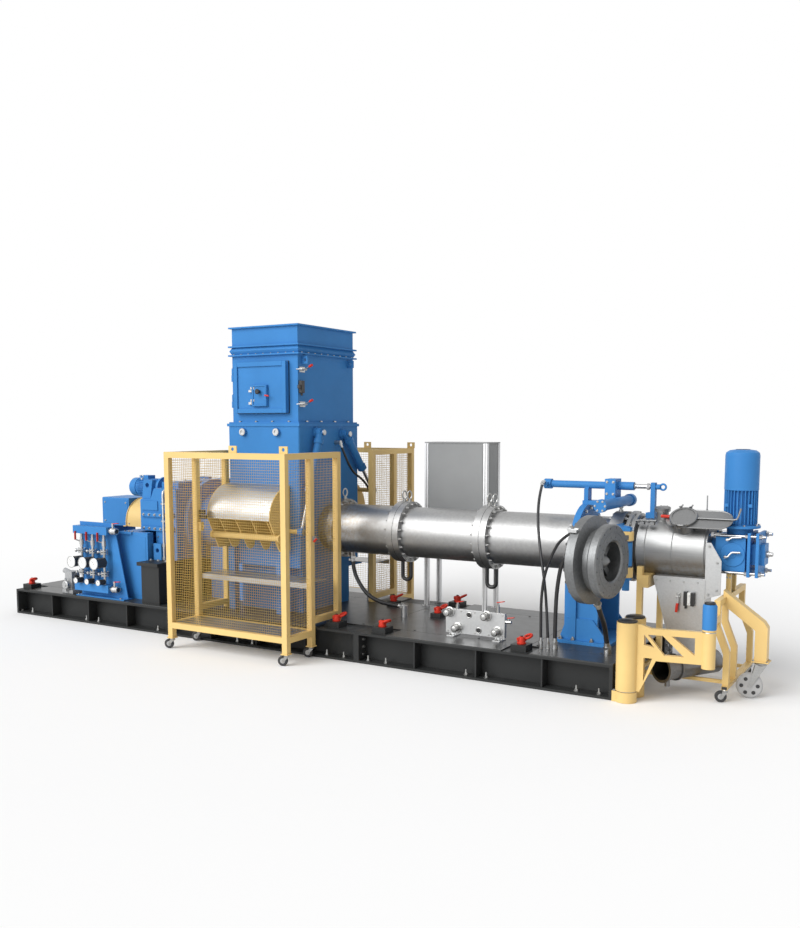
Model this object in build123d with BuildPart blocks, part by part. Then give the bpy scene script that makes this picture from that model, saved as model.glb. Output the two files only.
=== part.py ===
import os
from math import cos, hypot, radians, sin, tan

from build123d import *

# An extruder line on a two-part skid, in millimetres. X runs along the barrel towards the discharge,
# Y points away from the operator's side, Z is up. The origin is on the floor under the feed hopper.

# Skid of rolled beams
skid_left = -3620.0
skid_right = 4020.0
skid_split = 1430.0
skid_half_width = 950.0
beam_height = 300.0
beam_width = 300.0
beam_web = 14.0
beam_flange = 22.0
end_plate = 30.0
stiffener = 15.0
anchor_hole = 26.0
anchor_inset = 140.0
deck_plate = 12.0
seam = 5.0
pad_size = 150.0
pad_height = 45.0
pad_left = 110.0
pad_split_rear = 330.0
pad_split_front = 215.0
pad_right = 900.0
ring_radius = 34.0
ring_wire = 11.0

# Barrel and its flanges
axis_height = 1210.0
barrel_radius = 262.0
barrel_bore = 150.0
flange_radius = 318.0
flange_thick = 70.0
barrel_start = 640.0
barrel_joint_1 = 1455.0
barrel_joint_2 = 2440.0
barrel_end = 3780.0
end_flange = 120.0

# Feed hopper
hopper_half_x = 478.0
hopper_half_y = 560.0
hopper_base_top = 2340.0
box_half_x = 440.0
box_half_y = 520.0
box_height = 720.0
hopper_wall = 16.0
hopper_rim = 28.0
rim_thick = 16.0
collar_height = 110.0
collar_lip = 32.0
bead = 22.0
chute_height = 200.0
door_left = -375.0
door_width = 700.0
door_sill = 110.0
door_height = 540.0
door_thick = 40.0
door_gap = 6.0
flap_left = -119.0
flap_rise = 70.0
flap_width = 203.0
flap_height = 230.0
flap_thick = 22.0
hinge_radius = 11.0
pin_clearance = 0.3

# Drive
gearbox_left = -1800.0
gearbox_right = -1240.0
gearbox_half_y = 600.0
gearbox_bottom = 780.0
gearbox_top = 1600.0
plinth_left = -1560.0
plinth_half_y = 920.0
plinth_cap = 40.0
output_disc_radius = 480.0
output_disc = 60.0
neck_radius = 320.0
pedestal_left = -2000.0
pedestal_half_y = 730.0
pedestal_top = 1090.0
guard_radius = 270.0
guard_sheet = 6.0
motor_left = -2850.0
motor_length = 460.0
motor_half_y = 220.0
motor_height = 350.0
oil_motor_radius = 105.0
oil_motor_length = 480.0
oil_motor_y = -170.0
oil_pipe_radius = 14.0

# Cooling-water rack
rack_left = -2570.0
rack_width = 560.0
rack_front = -940.0
rack_depth = 110.0
rack_top = 1150.0
header_size = 90.0
water_lines = 3
water_pipe = 17.0

# Guard cage on castors
cage_left = -600.0
cage_right = 950.0
cage_front = -1430.0
cage_middle = -960.0
cage_back = -490.0
cage_top = 2050.0
cage_foot = 120.0
cage_rail = 220.0
tube = 60.0
mesh_pitch = 240.0
mesh_wire = 8.0
sheet = 3.0
shelf_height = 740.0
castor_radius = 50.0
castor_width = 26.0

# Rear guard cage and control cabinet
rear_cage_shift = -230.0
cabinet_left = 1330.0
cabinet_right = 2090.0
cabinet_front = 600.0
cabinet_back = 930.0
cabinet_bottom = 1150.0
cabinet_top = 2140.0
post = 45.0

# Die station
column_left = 3280.0
column_length = 520.0
column_half_y = 390.0
column_plate = 30.0
die_flange_radius = 368.0
die_nose_radius = 306.0
die_bore = 165.0
die_thick = 250.0
die_flange = 85.0
die_x = 3812.0
die_y = -1100.0
die_turn = 8.0
cylinder_radius = 34.0
port_reach = 90.0
hinge_x = 4000.0
hinge_y = -590.0
hinge_pin = 32.0
hinge_below = 320.0
hinge_above = 240.0
hinge_plates = 230.0

# Pelletizer on its trolley
drum_left = 3965.0
drum_right = 4600.0
drum_radius = 272.0
dock_ring_radius = 325.0
dock_ring = 85.0
bollard_x = 4125.0
bollard_y = -905.0
bollard_radius = 90.0
bollard_height = 680.0
bollard_base = 90.0
rear_bollard_y = -690.0
outer_post_x = 4770.0
outer_post_y = -800.0
outer_post_radius = 55.0
arm_top = 640.0
arm_bottom = 370.0
arm_thick = 50.0
sleeve_top = 860.0
running_gap = 8.0
cutter_motor_x = 4822.0
cutter_motor_radius = 150.0
cutter_motor_height = 730.0
cutter_box_rise = 160.0
big_castor_radius = 110.0
small_castor_radius = 50.0

# Hoses
hose_diameter = 26.0
feed_hose_diameter = 36.0
drain_hose_diameter = 44.0
fitting_length = 70.0

deck_top = beam_height + deck_plate
beam_y = skid_half_width - beam_width / 2
door_bottom = hopper_base_top + door_sill
flap_bottom = door_bottom + flap_rise
column_right = column_left + column_length
hinge_bottom = axis_height - hinge_below
hinge_top = axis_height + hinge_above
cutter_box_top = axis_height + cutter_box_rise
cutter_motor_top = cutter_box_top + cutter_motor_height
saddle = flange_radius + 60
beam_bottom = axis_height + saddle - 10
post_top = beam_bottom + 150
cylinder_z = post_top + cylinder_radius
cap_x = column_left - 245
os.makedirs("parts", exist_ok=True)


def block(x, y, z, mode=Mode.ADD):
    # A box between pairs of limits.
    middle = ((x[0] + x[1]) / 2, (y[0] + y[1]) / 2, (z[0] + z[1]) / 2)
    with Locations(middle):
        Box(x[1] - x[0], y[1] - y[0], z[1] - z[0], mode=mode)


def rod(start, end, radius, mode=Mode.ADD):
    # A round bar from one point to another.
    start, end = Vector(start), Vector(end)
    with Locations(Plane(origin=start, z_dir=end - start)):
        Cylinder(radius, (end - start).length, align=(Align.CENTER, Align.CENTER, Align.MIN), mode=mode)


def plate(outline, plane, thick, mode=Mode.ADD):
    # A flat plate of any outline, drawn on a plane and raised along its normal.
    with BuildSketch(plane) as flat:
        with BuildLine():
            Polyline(*outline, close=True)
        make_face()
    extrude(flat.sketch, amount=thick, mode=mode)


def i_beam(plane, length):
    # A rolled I-beam standing on the plane's own horizontal axis.
    notch = (beam_width - beam_web) / 2
    with BuildSketch(plane) as profile:
        with Locations((0, beam_height / 2)):
            Rectangle(beam_width, beam_height)
        for side in (-1, 1):
            with Locations((side * (beam_web + notch) / 2, beam_height / 2)):
                Rectangle(notch, beam_height - 2 * beam_flange, mode=Mode.SUBTRACT)
    extrude(profile.sketch, amount=length)


def finish(builder, name):
    # Labels a finished piece and writes it.
    builder.part.label = name
    export_step(builder.part, f"parts/{name}.step")


def skid_section(x0, x1, cross_beams, pads):
    # Two long beams, cross beams between them, web stiffeners, end plates and lifting pads.
    for side in (-1, 1):
        i_beam(Plane.YZ.offset(x0).shift_origin((x0, side * beam_y, 0)), x1 - x0)
        count = round((x1 - x0) / 620)
        for step in range(1, count):
            x = x0 + step * (x1 - x0) / count
            y = sorted((side * (beam_y + beam_web / 2), side * (skid_half_width - stiffener)))
            block((x - stiffener / 2, x + stiffener / 2), y, (beam_flange, beam_height - beam_flange))
    for x in cross_beams:
        reach = beam_y - beam_width / 2
        i_beam(Plane.XZ.offset(-reach).shift_origin((x, reach, 0)), 2 * reach)
    for x in (x0, x1 - end_plate):
        for side in (-1, 1):
            y = sorted((side * (skid_half_width - beam_width), side * skid_half_width))
            block((x, x + end_plate), y, (0, beam_height))
    for x, y in pads:
        size = pad_size / 2
        block((x - size, x + size), (y - size, y + size), (beam_height, deck_top + pad_height))
    for side in (-1, 1):
        for x in (x0 + anchor_inset, x1 - anchor_inset):
            with Locations((x, side * (skid_half_width - beam_width / 4 + beam_web / 4), beam_flange)):
                Hole(anchor_hole / 2, beam_flange)


# Lifting pads sit on the beams' top flanges
rear_pads = [(skid_left + pad_left, -beam_y), (skid_left + pad_left, beam_y),
             (skid_split - pad_split_rear, -beam_y)]
front_pads = [(x, side * beam_y) for x in (skid_split + pad_split_front, skid_right - pad_right)
              for side in (-1, 1)]
deck_rings = [(skid_split - 420, 470), (skid_split + 340, 110)]

with BuildPart() as skid_rear:
    skid_section(skid_left, skid_split, (skid_left + 400, -1900, -1280, 0, 900), rear_pads)
finish(skid_rear, "skid_rear")

with BuildPart() as skid_front:
    skid_section(skid_split, skid_right, (skid_split + 700, column_left + 150), front_pads)
finish(skid_front, "skid_front")

# Deck plates rest on the beams and stop clear of the lifting pads
with BuildPart() as deck_plates:
    inner = skid_half_width - beam_width
    block((skid_left, skid_split), (-inner, inner), (beam_height, deck_top))
    block((skid_split + seam, column_left - 150), (-inner, inner), (beam_height, deck_top))
    block((column_left - 150 + seam, skid_right), (-inner, inner), (beam_height, deck_top))
    edge = pad_size / 2 + 60
    for side in (-1, 1):
        y = sorted((side * (inner + 5), side * skid_half_width))
        block((skid_left + pad_left + edge, skid_split - pad_split_rear - edge), y, (beam_height, deck_top))
        block((skid_split + pad_split_front + edge, skid_right - pad_right - edge), y, (beam_height, deck_top))
        block((skid_right - pad_right + edge, skid_right), y, (beam_height, deck_top))
finish(deck_plates, "deck_plates")

# Swivel lifting rings, each on its pad
with BuildPart() as lifting_rings:
    top = deck_top + pad_height
    for x, y in deck_rings:
        block((x - 60, x + 60), (y - 60, y + 60), (deck_top, top))
    for x, y in rear_pads + front_pads + deck_rings:
        with Locations((x, y, top)):
            Cylinder(ring_radius, 30, align=(Align.CENTER, Align.CENTER, Align.MIN))
        with Locations(Plane(origin=(x - 20, y, top + 30 + ring_radius), z_dir=(0, 1, 0))):
            Torus(ring_radius, ring_wire)
finish(lifting_rings, "lifting_rings")

# Black plinth that carries the gearbox
plinth_top = gearbox_bottom - plinth_cap
plinth_right = gearbox_right
with BuildPart() as gearbox_plinth:
    block((plinth_left + 50, plinth_right), (-plinth_half_y + 20, plinth_half_y - 20), (deck_top, plinth_top))
    block((plinth_left, plinth_right), (-plinth_half_y, plinth_half_y), (plinth_top, gearbox_bottom))
finish(gearbox_plinth, "gearbox_plinth")

# Gearbox housing with cast lugs, a stepped crown and cover ribs
with BuildPart() as gearbox:
    with BuildSketch(Plane.XZ.offset(-gearbox_half_y)) as side_profile:
        with BuildLine():
            Polyline(
                (plinth_left, gearbox_bottom),
                (gearbox_right, gearbox_bottom),
                (gearbox_right, gearbox_top),
                (gearbox_left + 220, gearbox_top),
                (gearbox_left + 160, gearbox_top - 130),
                (gearbox_left, gearbox_top - 130),
                (gearbox_left, gearbox_bottom + 330),
                (plinth_left, gearbox_bottom + 330),
                close=True,
            )
        make_face()
    extrude(side_profile.sketch, amount=2 * gearbox_half_y)
    fillet(gearbox.edges().filter_by(Axis.Y), 18)
    # Crown with the two lifting lugs
    block((gearbox_left + 260, gearbox_right - 40), (-gearbox_half_y + 90, gearbox_half_y - 90),
          (gearbox_top, gearbox_top + 70))
    for side in (-1, 1):
        y = side * (gearbox_half_y - 120)
        lug = Plane.XZ.offset(-y + 30)
        plate([(gearbox_left - 20, gearbox_top - 260), (gearbox_left + 110, gearbox_top - 260),
               (gearbox_left + 170, gearbox_top + 90), (gearbox_left + 30, gearbox_top + 90)], lug, 60)
        with Locations(Plane(origin=(gearbox_left + 85, y - 40, gearbox_top + 30), z_dir=(0, 1, 0))):
            Cylinder(28, 200, mode=Mode.SUBTRACT)
    # Bolted split line and cover plate on the operator's side
    for z in (gearbox_bottom + 330, gearbox_top - 330):
        block((gearbox_left + 30, gearbox_right - 20), (-gearbox_half_y - 25, -gearbox_half_y), (z, z + 50))
        block((gearbox_left + 30, gearbox_right - 20), (gearbox_half_y, gearbox_half_y + 25), (z, z + 50))
    for side in (-1, 1):
        y = sorted((side * gearbox_half_y, side * (gearbox_half_y + 70)))
        block((plinth_left + 20, plinth_left + 140), y, (gearbox_bottom, gearbox_bottom + 190))
        with Locations(Plane(origin=(plinth_left + 80, side * gearbox_half_y, gearbox_bottom + 110), z_dir=(0, 1, 0))):
            Cylinder(26, 300, mode=Mode.SUBTRACT)
finish(gearbox, "gearbox")

# Upright housing in front of the gearbox, which carries the coupling guard
with BuildPart() as drive_pedestal:
    block((pedestal_left, plinth_left - 10), (-pedestal_half_y, pedestal_half_y), (deck_top, pedestal_top))
    block((gearbox_left - 10, plinth_left), (-gearbox_half_y - 40, gearbox_half_y + 40),
          (gearbox_bottom - 50, pedestal_top + 30), mode=Mode.SUBTRACT)
    block((pedestal_left - 20, gearbox_left - 10), (-pedestal_half_y - 20, pedestal_half_y + 20),
          (pedestal_top - 25, pedestal_top))
finish(drive_pedestal, "drive_pedestal")

# Sheet-metal arch over the coupling
guard_left = motor_left + motor_length
guard_bottom = pedestal_top
with BuildPart() as coupling_guard:
    with BuildSketch(Plane.YZ.offset(guard_left)) as arch:
        with Locations((0, guard_bottom + 60)):
            Circle(guard_radius)
            Rectangle(4 * guard_radius, 2 * guard_radius, align=(Align.CENTER, Align.MAX), mode=Mode.SUBTRACT)
        with Locations((0, guard_bottom + 60)):
            Rectangle(2 * guard_radius, 60, align=(Align.CENTER, Align.MAX))
    extrude(arch.sketch, amount=gearbox_left - guard_left)
    with BuildSketch(Plane.YZ.offset(guard_left)) as hollow:
        with Locations((0, guard_bottom + 60)):
            Circle(guard_radius - guard_sheet)
        with Locations((0, guard_bottom + 60)):
            Rectangle(2 * (guard_radius - guard_sheet), 90, align=(Align.CENTER, Align.MAX))
    extrude(hollow.sketch, amount=gearbox_left - guard_left, mode=Mode.SUBTRACT)
finish(coupling_guard, "coupling_guard")

# Boxed drive motor on its stand
motor_bottom = pedestal_top - 10
with BuildPart() as drive_motor:
    block((motor_left, guard_left), (-motor_half_y, motor_half_y), (motor_bottom, motor_bottom + motor_height))
    fillet(drive_motor.edges().filter_by(Axis.X), 15)
    block((motor_left, motor_left + 150), (-motor_half_y + 40, motor_half_y - 40), (deck_top, motor_bottom + 20))
    block((motor_left, motor_left + 260), (-motor_half_y, motor_half_y), (deck_top, deck_top + 20))
    rod((guard_left, 0, pedestal_top + 130), (gearbox_left, 0, pedestal_top + 130), 60)
finish(drive_motor, "drive_motor")

# Oil-pump motor flanged to the gearbox crown
with BuildPart() as oil_pump_motor:
    start = (gearbox_left, oil_motor_y, gearbox_top - 130 + oil_motor_radius)
    z = start[2]
    block((gearbox_left - 330, gearbox_left), (oil_motor_y - 60, oil_motor_y + 60),
          (guard_bottom + 66 + guard_radius, z - 40))
    rod((gearbox_left - oil_motor_length, oil_motor_y, z), (gearbox_left - 40, oil_motor_y, z), oil_motor_radius)
    rod((gearbox_left - 40, oil_motor_y, z), (gearbox_left - 20, oil_motor_y, z), oil_motor_radius + 25)
    block((gearbox_left - 380, gearbox_left - 240), (oil_motor_y - 60, oil_motor_y + 60),
          (z, z + oil_motor_radius + 40))
finish(oil_pump_motor, "oil_pump_motor")

# Oil pipes held along the gearbox front
with BuildPart() as oil_pipes:
    y = -gearbox_half_y - 25 - oil_pipe_radius - 0.3
    for x in (gearbox_right - 160, gearbox_right - 100):
        rod((x, y, gearbox_bottom + 10), (x, y, gearbox_top - 100), oil_pipe_radius)
        rod((x, y, gearbox_top - 100 - oil_pipe_radius), (x, -gearbox_half_y, gearbox_top - 100 - oil_pipe_radius),
            oil_pipe_radius)
finish(oil_pipes, "oil_pipes")

# Output disc and neck from the gearbox to the feed housing
with BuildPart() as output_neck:
    with BuildSketch(Plane.XZ) as half:
        with BuildLine():
            Polyline(
                (gearbox_right, axis_height),
                (gearbox_right, axis_height + output_disc_radius),
                (gearbox_right + output_disc, axis_height + output_disc_radius),
                (gearbox_right + output_disc, axis_height + neck_radius),
                (-hopper_half_x - output_disc, axis_height + neck_radius),
                (-hopper_half_x - output_disc, axis_height + neck_radius + 70),
                (-hopper_half_x, axis_height + neck_radius + 70),
                (-hopper_half_x, axis_height),
                close=True,
            )
        make_face()
    revolve(half.sketch, axis=Axis((0, 0, axis_height), (1, 0, 0)))
    block((gearbox_right + output_disc + 90, -hopper_half_x - 20), (-200, 200),
          (deck_top, axis_height - neck_radius + 30))
finish(output_neck, "output_neck")

# Cooling-water rack: two headers, uprights and a triangular brace
rack_right = rack_left + rack_width
rack_back = rack_front + rack_depth
with BuildPart() as water_rack:
    low = deck_top + 70
    block((rack_left, rack_right), (rack_front, rack_front + header_size), (low, low + header_size))
    block((rack_left, rack_right), (rack_front, rack_front + header_size), (rack_top - header_size, rack_top))
    block((rack_left, rack_right), (rack_back, rack_back + 12), (deck_top, rack_top + 40))
    block((rack_left, rack_right), (rack_front + header_size, rack_back), (rack_top - header_size, rack_top))
    block((rack_left, rack_right), (rack_front + header_size, rack_back), (low, low + header_size))
    block((rack_left, rack_right + 230), (rack_front + 20, rack_back + 60), (deck_top, deck_top + 12))
    plate([(rack_right - 12, deck_top + 12), (rack_right + 220, deck_top + 12), (rack_right + 30, rack_top),
           (rack_right - 12, rack_top)], Plane.XZ.offset(-rack_back), 12)
finish(water_rack, "water_rack")

# Valve lines with pressure gauges between the headers
line_y = rack_front + header_size / 2
gauge_z = deck_top + 350
with BuildPart() as water_valves:
    for line in range(water_lines):
        x = rack_left + rack_width * (line + 0.5) / water_lines
        rod((x, line_y, deck_top + 70 + header_size), (x, line_y, rack_top - header_size), water_pipe)
        for z in (deck_top + 260, rack_top - header_size - 190, rack_top - header_size - 90):
            with Locations((x, line_y, z)):
                Cylinder(30, 55)
        rod((x, line_y, gauge_z), (x, line_y - 60, gauge_z), 14)
        rod((x, line_y - 60, gauge_z), (x, line_y - 130, gauge_z), 62)
        rod((x, line_y, deck_top + 210), (x, line_y - 50, deck_top + 210), 10)
        rod((x, line_y - 50, deck_top + 210), (x, line_y - 80, deck_top + 210), 32)
    for z in (deck_top + 70 + header_size / 2, rack_top - header_size / 2):
        rod((rack_right, line_y, z), (rack_right + 110, line_y, z), 24)
        rod((rack_right + 30, line_y, z), (rack_right + 85, line_y, z), 36)
finish(water_valves, "water_valves")

# Small dosing pump beside the rack
pump_x = rack_left - 200
pump_y = -800
with BuildPart() as dosing_pump:
    block((pump_x - 90, pump_x + 90), (pump_y - 80, pump_y + 80), (deck_top, deck_top + 40))
    block((pump_x - 60, pump_x + 60), (pump_y - 60, pump_y + 60), (deck_top + 40, deck_top + 260))
    rod((pump_x - 130, pump_y, deck_top + 260), (pump_x + 40, pump_y, deck_top + 215), 32)
    rod((pump_x, pump_y - 95, deck_top + 100), (pump_x, pump_y, deck_top + 100), 42)
finish(dosing_pump, "dosing_pump")

# Guard cage of square tube on four castors, docked to side panels that stand on the skid
cage_posts = [(cage_left, cage_front, cage_foot), (cage_right - tube, cage_front, cage_foot),
              (cage_left, cage_middle - tube, cage_foot), (cage_right - tube, cage_middle - tube, cage_foot),
              (cage_left, cage_back - tube, deck_top), (cage_right - tube, cage_back - tube, deck_top)]
panel_rail = deck_top + 30
with BuildPart() as cage_frame:
    for x, y, z in cage_posts:
        block((x, x + tube), (y, y + tube), (z, cage_top))
    block((cage_left, cage_right), (cage_front, cage_front + tube), (cage_top - tube, cage_top))
    block((cage_left, cage_right), (cage_front, cage_front + tube), (cage_rail, cage_rail + tube))
    block((cage_left, cage_right), (cage_middle - tube, cage_middle), (cage_rail, cage_rail + tube))
    for x in (cage_left, cage_right - tube):
        block((x, x + tube), (cage_front, cage_back), (cage_top - tube, cage_top))
        block((x, x + tube), (cage_front, cage_middle), (cage_rail, cage_rail + tube))
        block((x, x + tube), (cage_middle - tube, cage_back), (panel_rail, panel_rail + tube))
    # Foot plates over the castors
    for x, y, z in cage_posts[:4]:
        block((x - 10, x + tube + 10), (y - 10, y + tube + 10), (z - 10, z))
    # Two lifting lugs on the top rails
    for x in (cage_left + 0.56 * (cage_right - cage_left), cage_right - tube):
        with BuildSketch(Plane.XZ.offset(-cage_front - tube / 2)) as lug:
            with Locations((x + 30, cage_top)):
                Rectangle(100, 70, align=(Align.CENTER, Align.MIN))
            with Locations((x + 30, cage_top + 38)):
                Circle(18, mode=Mode.SUBTRACT)
        extrude(lug.sketch, amount=10)
finish(cage_frame, "cage_frame")

with BuildPart() as rear_cage:
    add(Pos(rear_cage_shift, 0, 0) * cage_frame.part.mirror(Plane.XZ))
finish(rear_cage, "rear_cage")


def lattice(plane, width, height):
    # Crossed square wires that reach the frame on all four sides, drawn from one lower corner.
    across = max(2, round(width / mesh_pitch))
    up = max(2, round(height / mesh_pitch))
    with BuildSketch(plane) as grid:
        for step in range(1, across):
            with Locations((width * step / across, height / 2)):
                Rectangle(mesh_wire, height)
        for step in range(1, up):
            with Locations((width / 2, height * step / up)):
                Rectangle(width, mesh_wire)
    extrude(grid.sketch, amount=mesh_wire)


mesh_bottom = cage_rail + tube
mesh_height = cage_top - tube - mesh_bottom
with BuildPart() as cage_mesh_front:
    corner = (cage_left + tube, cage_front + (tube + mesh_wire) / 2, mesh_bottom)
    lattice(Plane(origin=corner, x_dir=(1, 0, 0), z_dir=(0, -1, 0)), cage_right - cage_left - 2 * tube, mesh_height)
finish(cage_mesh_front, "cage_mesh_front")


def side_mesh(x):
    # The mobile panel and the fixed panel of one side of the cage.
    corner = (x - mesh_wire / 2, cage_front + tube, mesh_bottom)
    lattice(Plane(origin=corner, x_dir=(0, 1, 0), z_dir=(1, 0, 0)), cage_middle - cage_front - 2 * tube, mesh_height)
    bottom = panel_rail + tube
    corner = (x - mesh_wire / 2, cage_middle, bottom)
    lattice(Plane(origin=corner, x_dir=(0, 1, 0), z_dir=(1, 0, 0)), cage_back - cage_middle - tube,
            cage_top - tube - bottom)


with BuildPart() as cage_mesh_left:
    side_mesh(cage_left + tube / 2)
finish(cage_mesh_left, "cage_mesh_left")

with BuildPart() as cage_mesh_right:
    side_mesh(cage_right - tube / 2)
finish(cage_mesh_right, "cage_mesh_right")

with BuildPart() as rear_cage_mesh:
    for panel in (cage_mesh_front, cage_mesh_left, cage_mesh_right):
        add(Pos(rear_cage_shift, 0, 0) * panel.part.mirror(Plane.XZ))
finish(rear_cage_mesh, "rear_cage_mesh")

# Floor sheet inside the cage
with BuildPart() as cage_floor:
    block((cage_left + tube, cage_right - tube), (cage_front + tube, cage_middle - tube),
          (cage_rail + tube - sheet, cage_rail + tube))
    add(Pos(rear_cage_shift, 0, 0) * cage_floor.part.mirror(Plane.XZ))
finish(cage_floor, "cage_floor")


def castor(x, y, top, radius, width, trail):
    # A swivel castor: top plate, fork and axle, then its wheel as a solid of its own.
    wheel = (x + trail[0], y + trail[1])
    along = Vector(trail[0], trail[1], 0).normalized()
    across = Vector(along.Y, -along.X, 0)
    frame = Plane(origin=(wheel[0], wheel[1], radius), x_dir=along, z_dir=across)
    with Locations((x, y, top)):
        Cylinder(0.45 * radius + 8, top - 2 * radius - 6, align=(Align.CENTER, Align.CENTER, Align.MAX))
    for side in (-1, 1):
        cheek = frame.offset(side * (width / 2 + 4) - 2.5)
        toward = -hypot(*trail)
        plate([(-9, -9), (9, -9), (toward + 0.5 * radius, top - radius), (toward - 0.5 * radius, top - radius)],
              cheek, 5)
    bridge = Plane(origin=(x, y, top - 6), x_dir=along, z_dir=(0, 0, 1))
    with BuildSketch(bridge) as crown:
        Rectangle(radius, width + 13)
    extrude(crown.sketch, amount=6)
    with Locations(frame):
        Cylinder(7, width + 13)
        Cylinder(radius, width)
        Cylinder(7.3, width, mode=Mode.SUBTRACT)
        Cylinder(7, width + 13)


# Castors stand under the foot plates of both cages
trail = (-32.0, -14.0)
with BuildPart() as cage_castors:
    for x, y, z in cage_posts[:4]:
        castor(x + tube / 2, y + tube / 2, z - 10, castor_radius, castor_width, trail)
    add(Pos(rear_cage_shift, 0, 0) * cage_castors.part.mirror(Plane.XZ))
finish(cage_castors, "cage_castors")

# Feed housing under the hopper, with a narrower foot
housing_bottom = axis_height - 400
with BuildPart() as hopper_base:
    block((-hopper_half_x, hopper_half_x), (-hopper_half_y, hopper_half_y), (housing_bottom, hopper_base_top - 30))
    fillet(hopper_base.edges().filter_by(Axis.Z), 20)
    block((-hopper_half_x + 60, hopper_half_x - 60), (-hopper_half_y + 120, hopper_half_y - 120),
          (deck_top, housing_bottom))
    block((-hopper_half_x - 10, hopper_half_x + 10), (-hopper_half_y - 10, hopper_half_y + 10),
          (hopper_base_top - 30, hopper_base_top))
    for x in (-0.55 * hopper_half_x, 0.4 * hopper_half_x):
        rod((x, -hopper_half_y - 22, hopper_base_top - 90), (x, hopper_half_y + 22, hopper_base_top - 90), 42)
finish(hopper_base, "hopper_base")

# Hopper box, bolted collar and charging chute, one open shell
box_top = hopper_base_top + box_height
collar_top = box_top + collar_height
chute_top = collar_top + chute_height
door_right = door_left + door_width
door_top = door_bottom + door_height
door_back = -box_half_y - door_gap
hinge_axis_x = door_left - 26
hinge_axis_y = door_back - door_thick / 2
knuckle = 70.0
door_lap = 30.0
with BuildPart() as hopper_box:
    block((-box_half_x, box_half_x), (-box_half_y, box_half_y), (hopper_base_top, chute_top))
    reach = collar_lip
    block((-box_half_x - reach, box_half_x + reach), (-box_half_y - reach, box_half_y + reach),
          (hopper_base_top, hopper_base_top + rim_thick))
    for z in (box_top, collar_top - rim_thick):
        block((-box_half_x - reach, box_half_x + reach), (-box_half_y - reach, box_half_y + reach),
              (z, z + rim_thick))
    block((-box_half_x - hopper_rim, box_half_x + hopper_rim), (-box_half_y - hopper_rim, box_half_y + hopper_rim),
          (chute_top - rim_thick, chute_top))
    # Folded bead round the middle of the collar
    with BuildSketch(Plane.XY.offset(box_top + rim_thick)) as bead_foot:
        Rectangle(2 * box_half_x, 2 * box_half_y)
    with BuildSketch(Plane.XY.offset((box_top + collar_top) / 2)) as bead_edge:
        Rectangle(2 * (box_half_x + bead), 2 * (box_half_y + bead))
    with BuildSketch(Plane.XY.offset(collar_top - rim_thick)) as bead_head:
        Rectangle(2 * box_half_x, 2 * box_half_y)
    loft([bead_foot.sketch, bead_edge.sketch, bead_head.sketch], ruled=True)
    block((-box_half_x + hopper_wall, box_half_x - hopper_wall), (-box_half_y + hopper_wall, box_half_y - hopper_wall),
          (hopper_base_top + rim_thick, chute_top), mode=Mode.SUBTRACT)
    block((door_left + door_lap, door_right - door_lap), (-box_half_y, -box_half_y + hopper_wall),
          (door_bottom + door_lap, door_top - door_lap), mode=Mode.SUBTRACT)
    # Fixed halves of the door hinges: brackets with a standing pin
    for z in (door_bottom + 60, door_top - 60 - 2 * knuckle):
        block((hinge_axis_x - 20, hinge_axis_x + 16), (hinge_axis_y - 16, -box_half_y), (z, z + knuckle))
        rod((hinge_axis_x, hinge_axis_y, z), (hinge_axis_x, hinge_axis_y, z + 2 * knuckle + 4), hinge_radius)
    # Lifting lugs on the discharge side
    for y in (-0.82 * box_half_y, 0.82 * box_half_y):
        with BuildSketch(Plane.XZ.offset(-y)) as lug:
            with Locations((box_half_x, box_top - 60)):
                Rectangle(75, 80, align=(Align.MIN, Align.CENTER))
            with Locations((box_half_x + 45, box_top - 60)):
                Circle(16, mode=Mode.SUBTRACT)
        extrude(lug.sketch, amount=25)
finish(hopper_box, "hopper_box")

# Access door with its hinge knuckles
flap_right = flap_left + flap_width
flap_top = flap_bottom + flap_height
flap_axis_x = flap_left - 14
flap_axis_y = door_back - door_thick - flap_thick / 2 - 2
with BuildPart() as hopper_door:
    block((door_left, door_right), (door_back - door_thick, door_back), (door_bottom, door_top))
    fillet(hopper_door.edges().filter_by(Axis.Y), 12)
    block((flap_left + 24, flap_right - 24), (door_back - door_thick, door_back),
          (flap_bottom + 24, flap_top - 24), mode=Mode.SUBTRACT)
    for z in (door_bottom + 60 + knuckle + 2, door_top - 60 - knuckle + 2):
        block((hinge_axis_x, door_left), (hinge_axis_y - 14, hinge_axis_y + 14), (z, z + knuckle))
        rod((hinge_axis_x, hinge_axis_y, z), (hinge_axis_x, hinge_axis_y, z + knuckle), 20)
        rod((hinge_axis_x, hinge_axis_y, z - 1), (hinge_axis_x, hinge_axis_y, z + knuckle + 1),
            hinge_radius + pin_clearance, mode=Mode.SUBTRACT)
    # Fixed halves of the flap hinges
    for z in (flap_bottom + 20, flap_top - 80):
        block((flap_axis_x - 30, flap_axis_x), (flap_axis_y - 8, door_back - door_thick), (z, z + 28))
        rod((flap_axis_x, flap_axis_y, z), (flap_axis_x, flap_axis_y, z + 60), 6)
finish(hopper_door, "hopper_door")

# Inspection flap on the door
with BuildPart() as door_flap:
    face = door_back - door_thick - 2
    block((flap_left, flap_right), (face - flap_thick, face), (flap_bottom, flap_top))
    fillet(door_flap.edges().filter_by(Axis.Y), 10)
    for z in (flap_bottom + 20, flap_top - 80):
        block((flap_axis_x, flap_left), (flap_axis_y - 8, flap_axis_y + 8), (z + 30, z + 58))
        rod((flap_axis_x, flap_axis_y, z + 30), (flap_axis_x, flap_axis_y, z + 58), 11)
        rod((flap_axis_x, flap_axis_y, z + 29), (flap_axis_x, flap_axis_y, z + 59), 6 + pin_clearance,
            mode=Mode.SUBTRACT)
    middle = (flap_left + flap_right) / 2
    rod((middle, face - flap_thick, flap_top - 75), (middle, face - flap_thick - 45, flap_top - 75), 16)
finish(door_flap, "door_flap")

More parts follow.
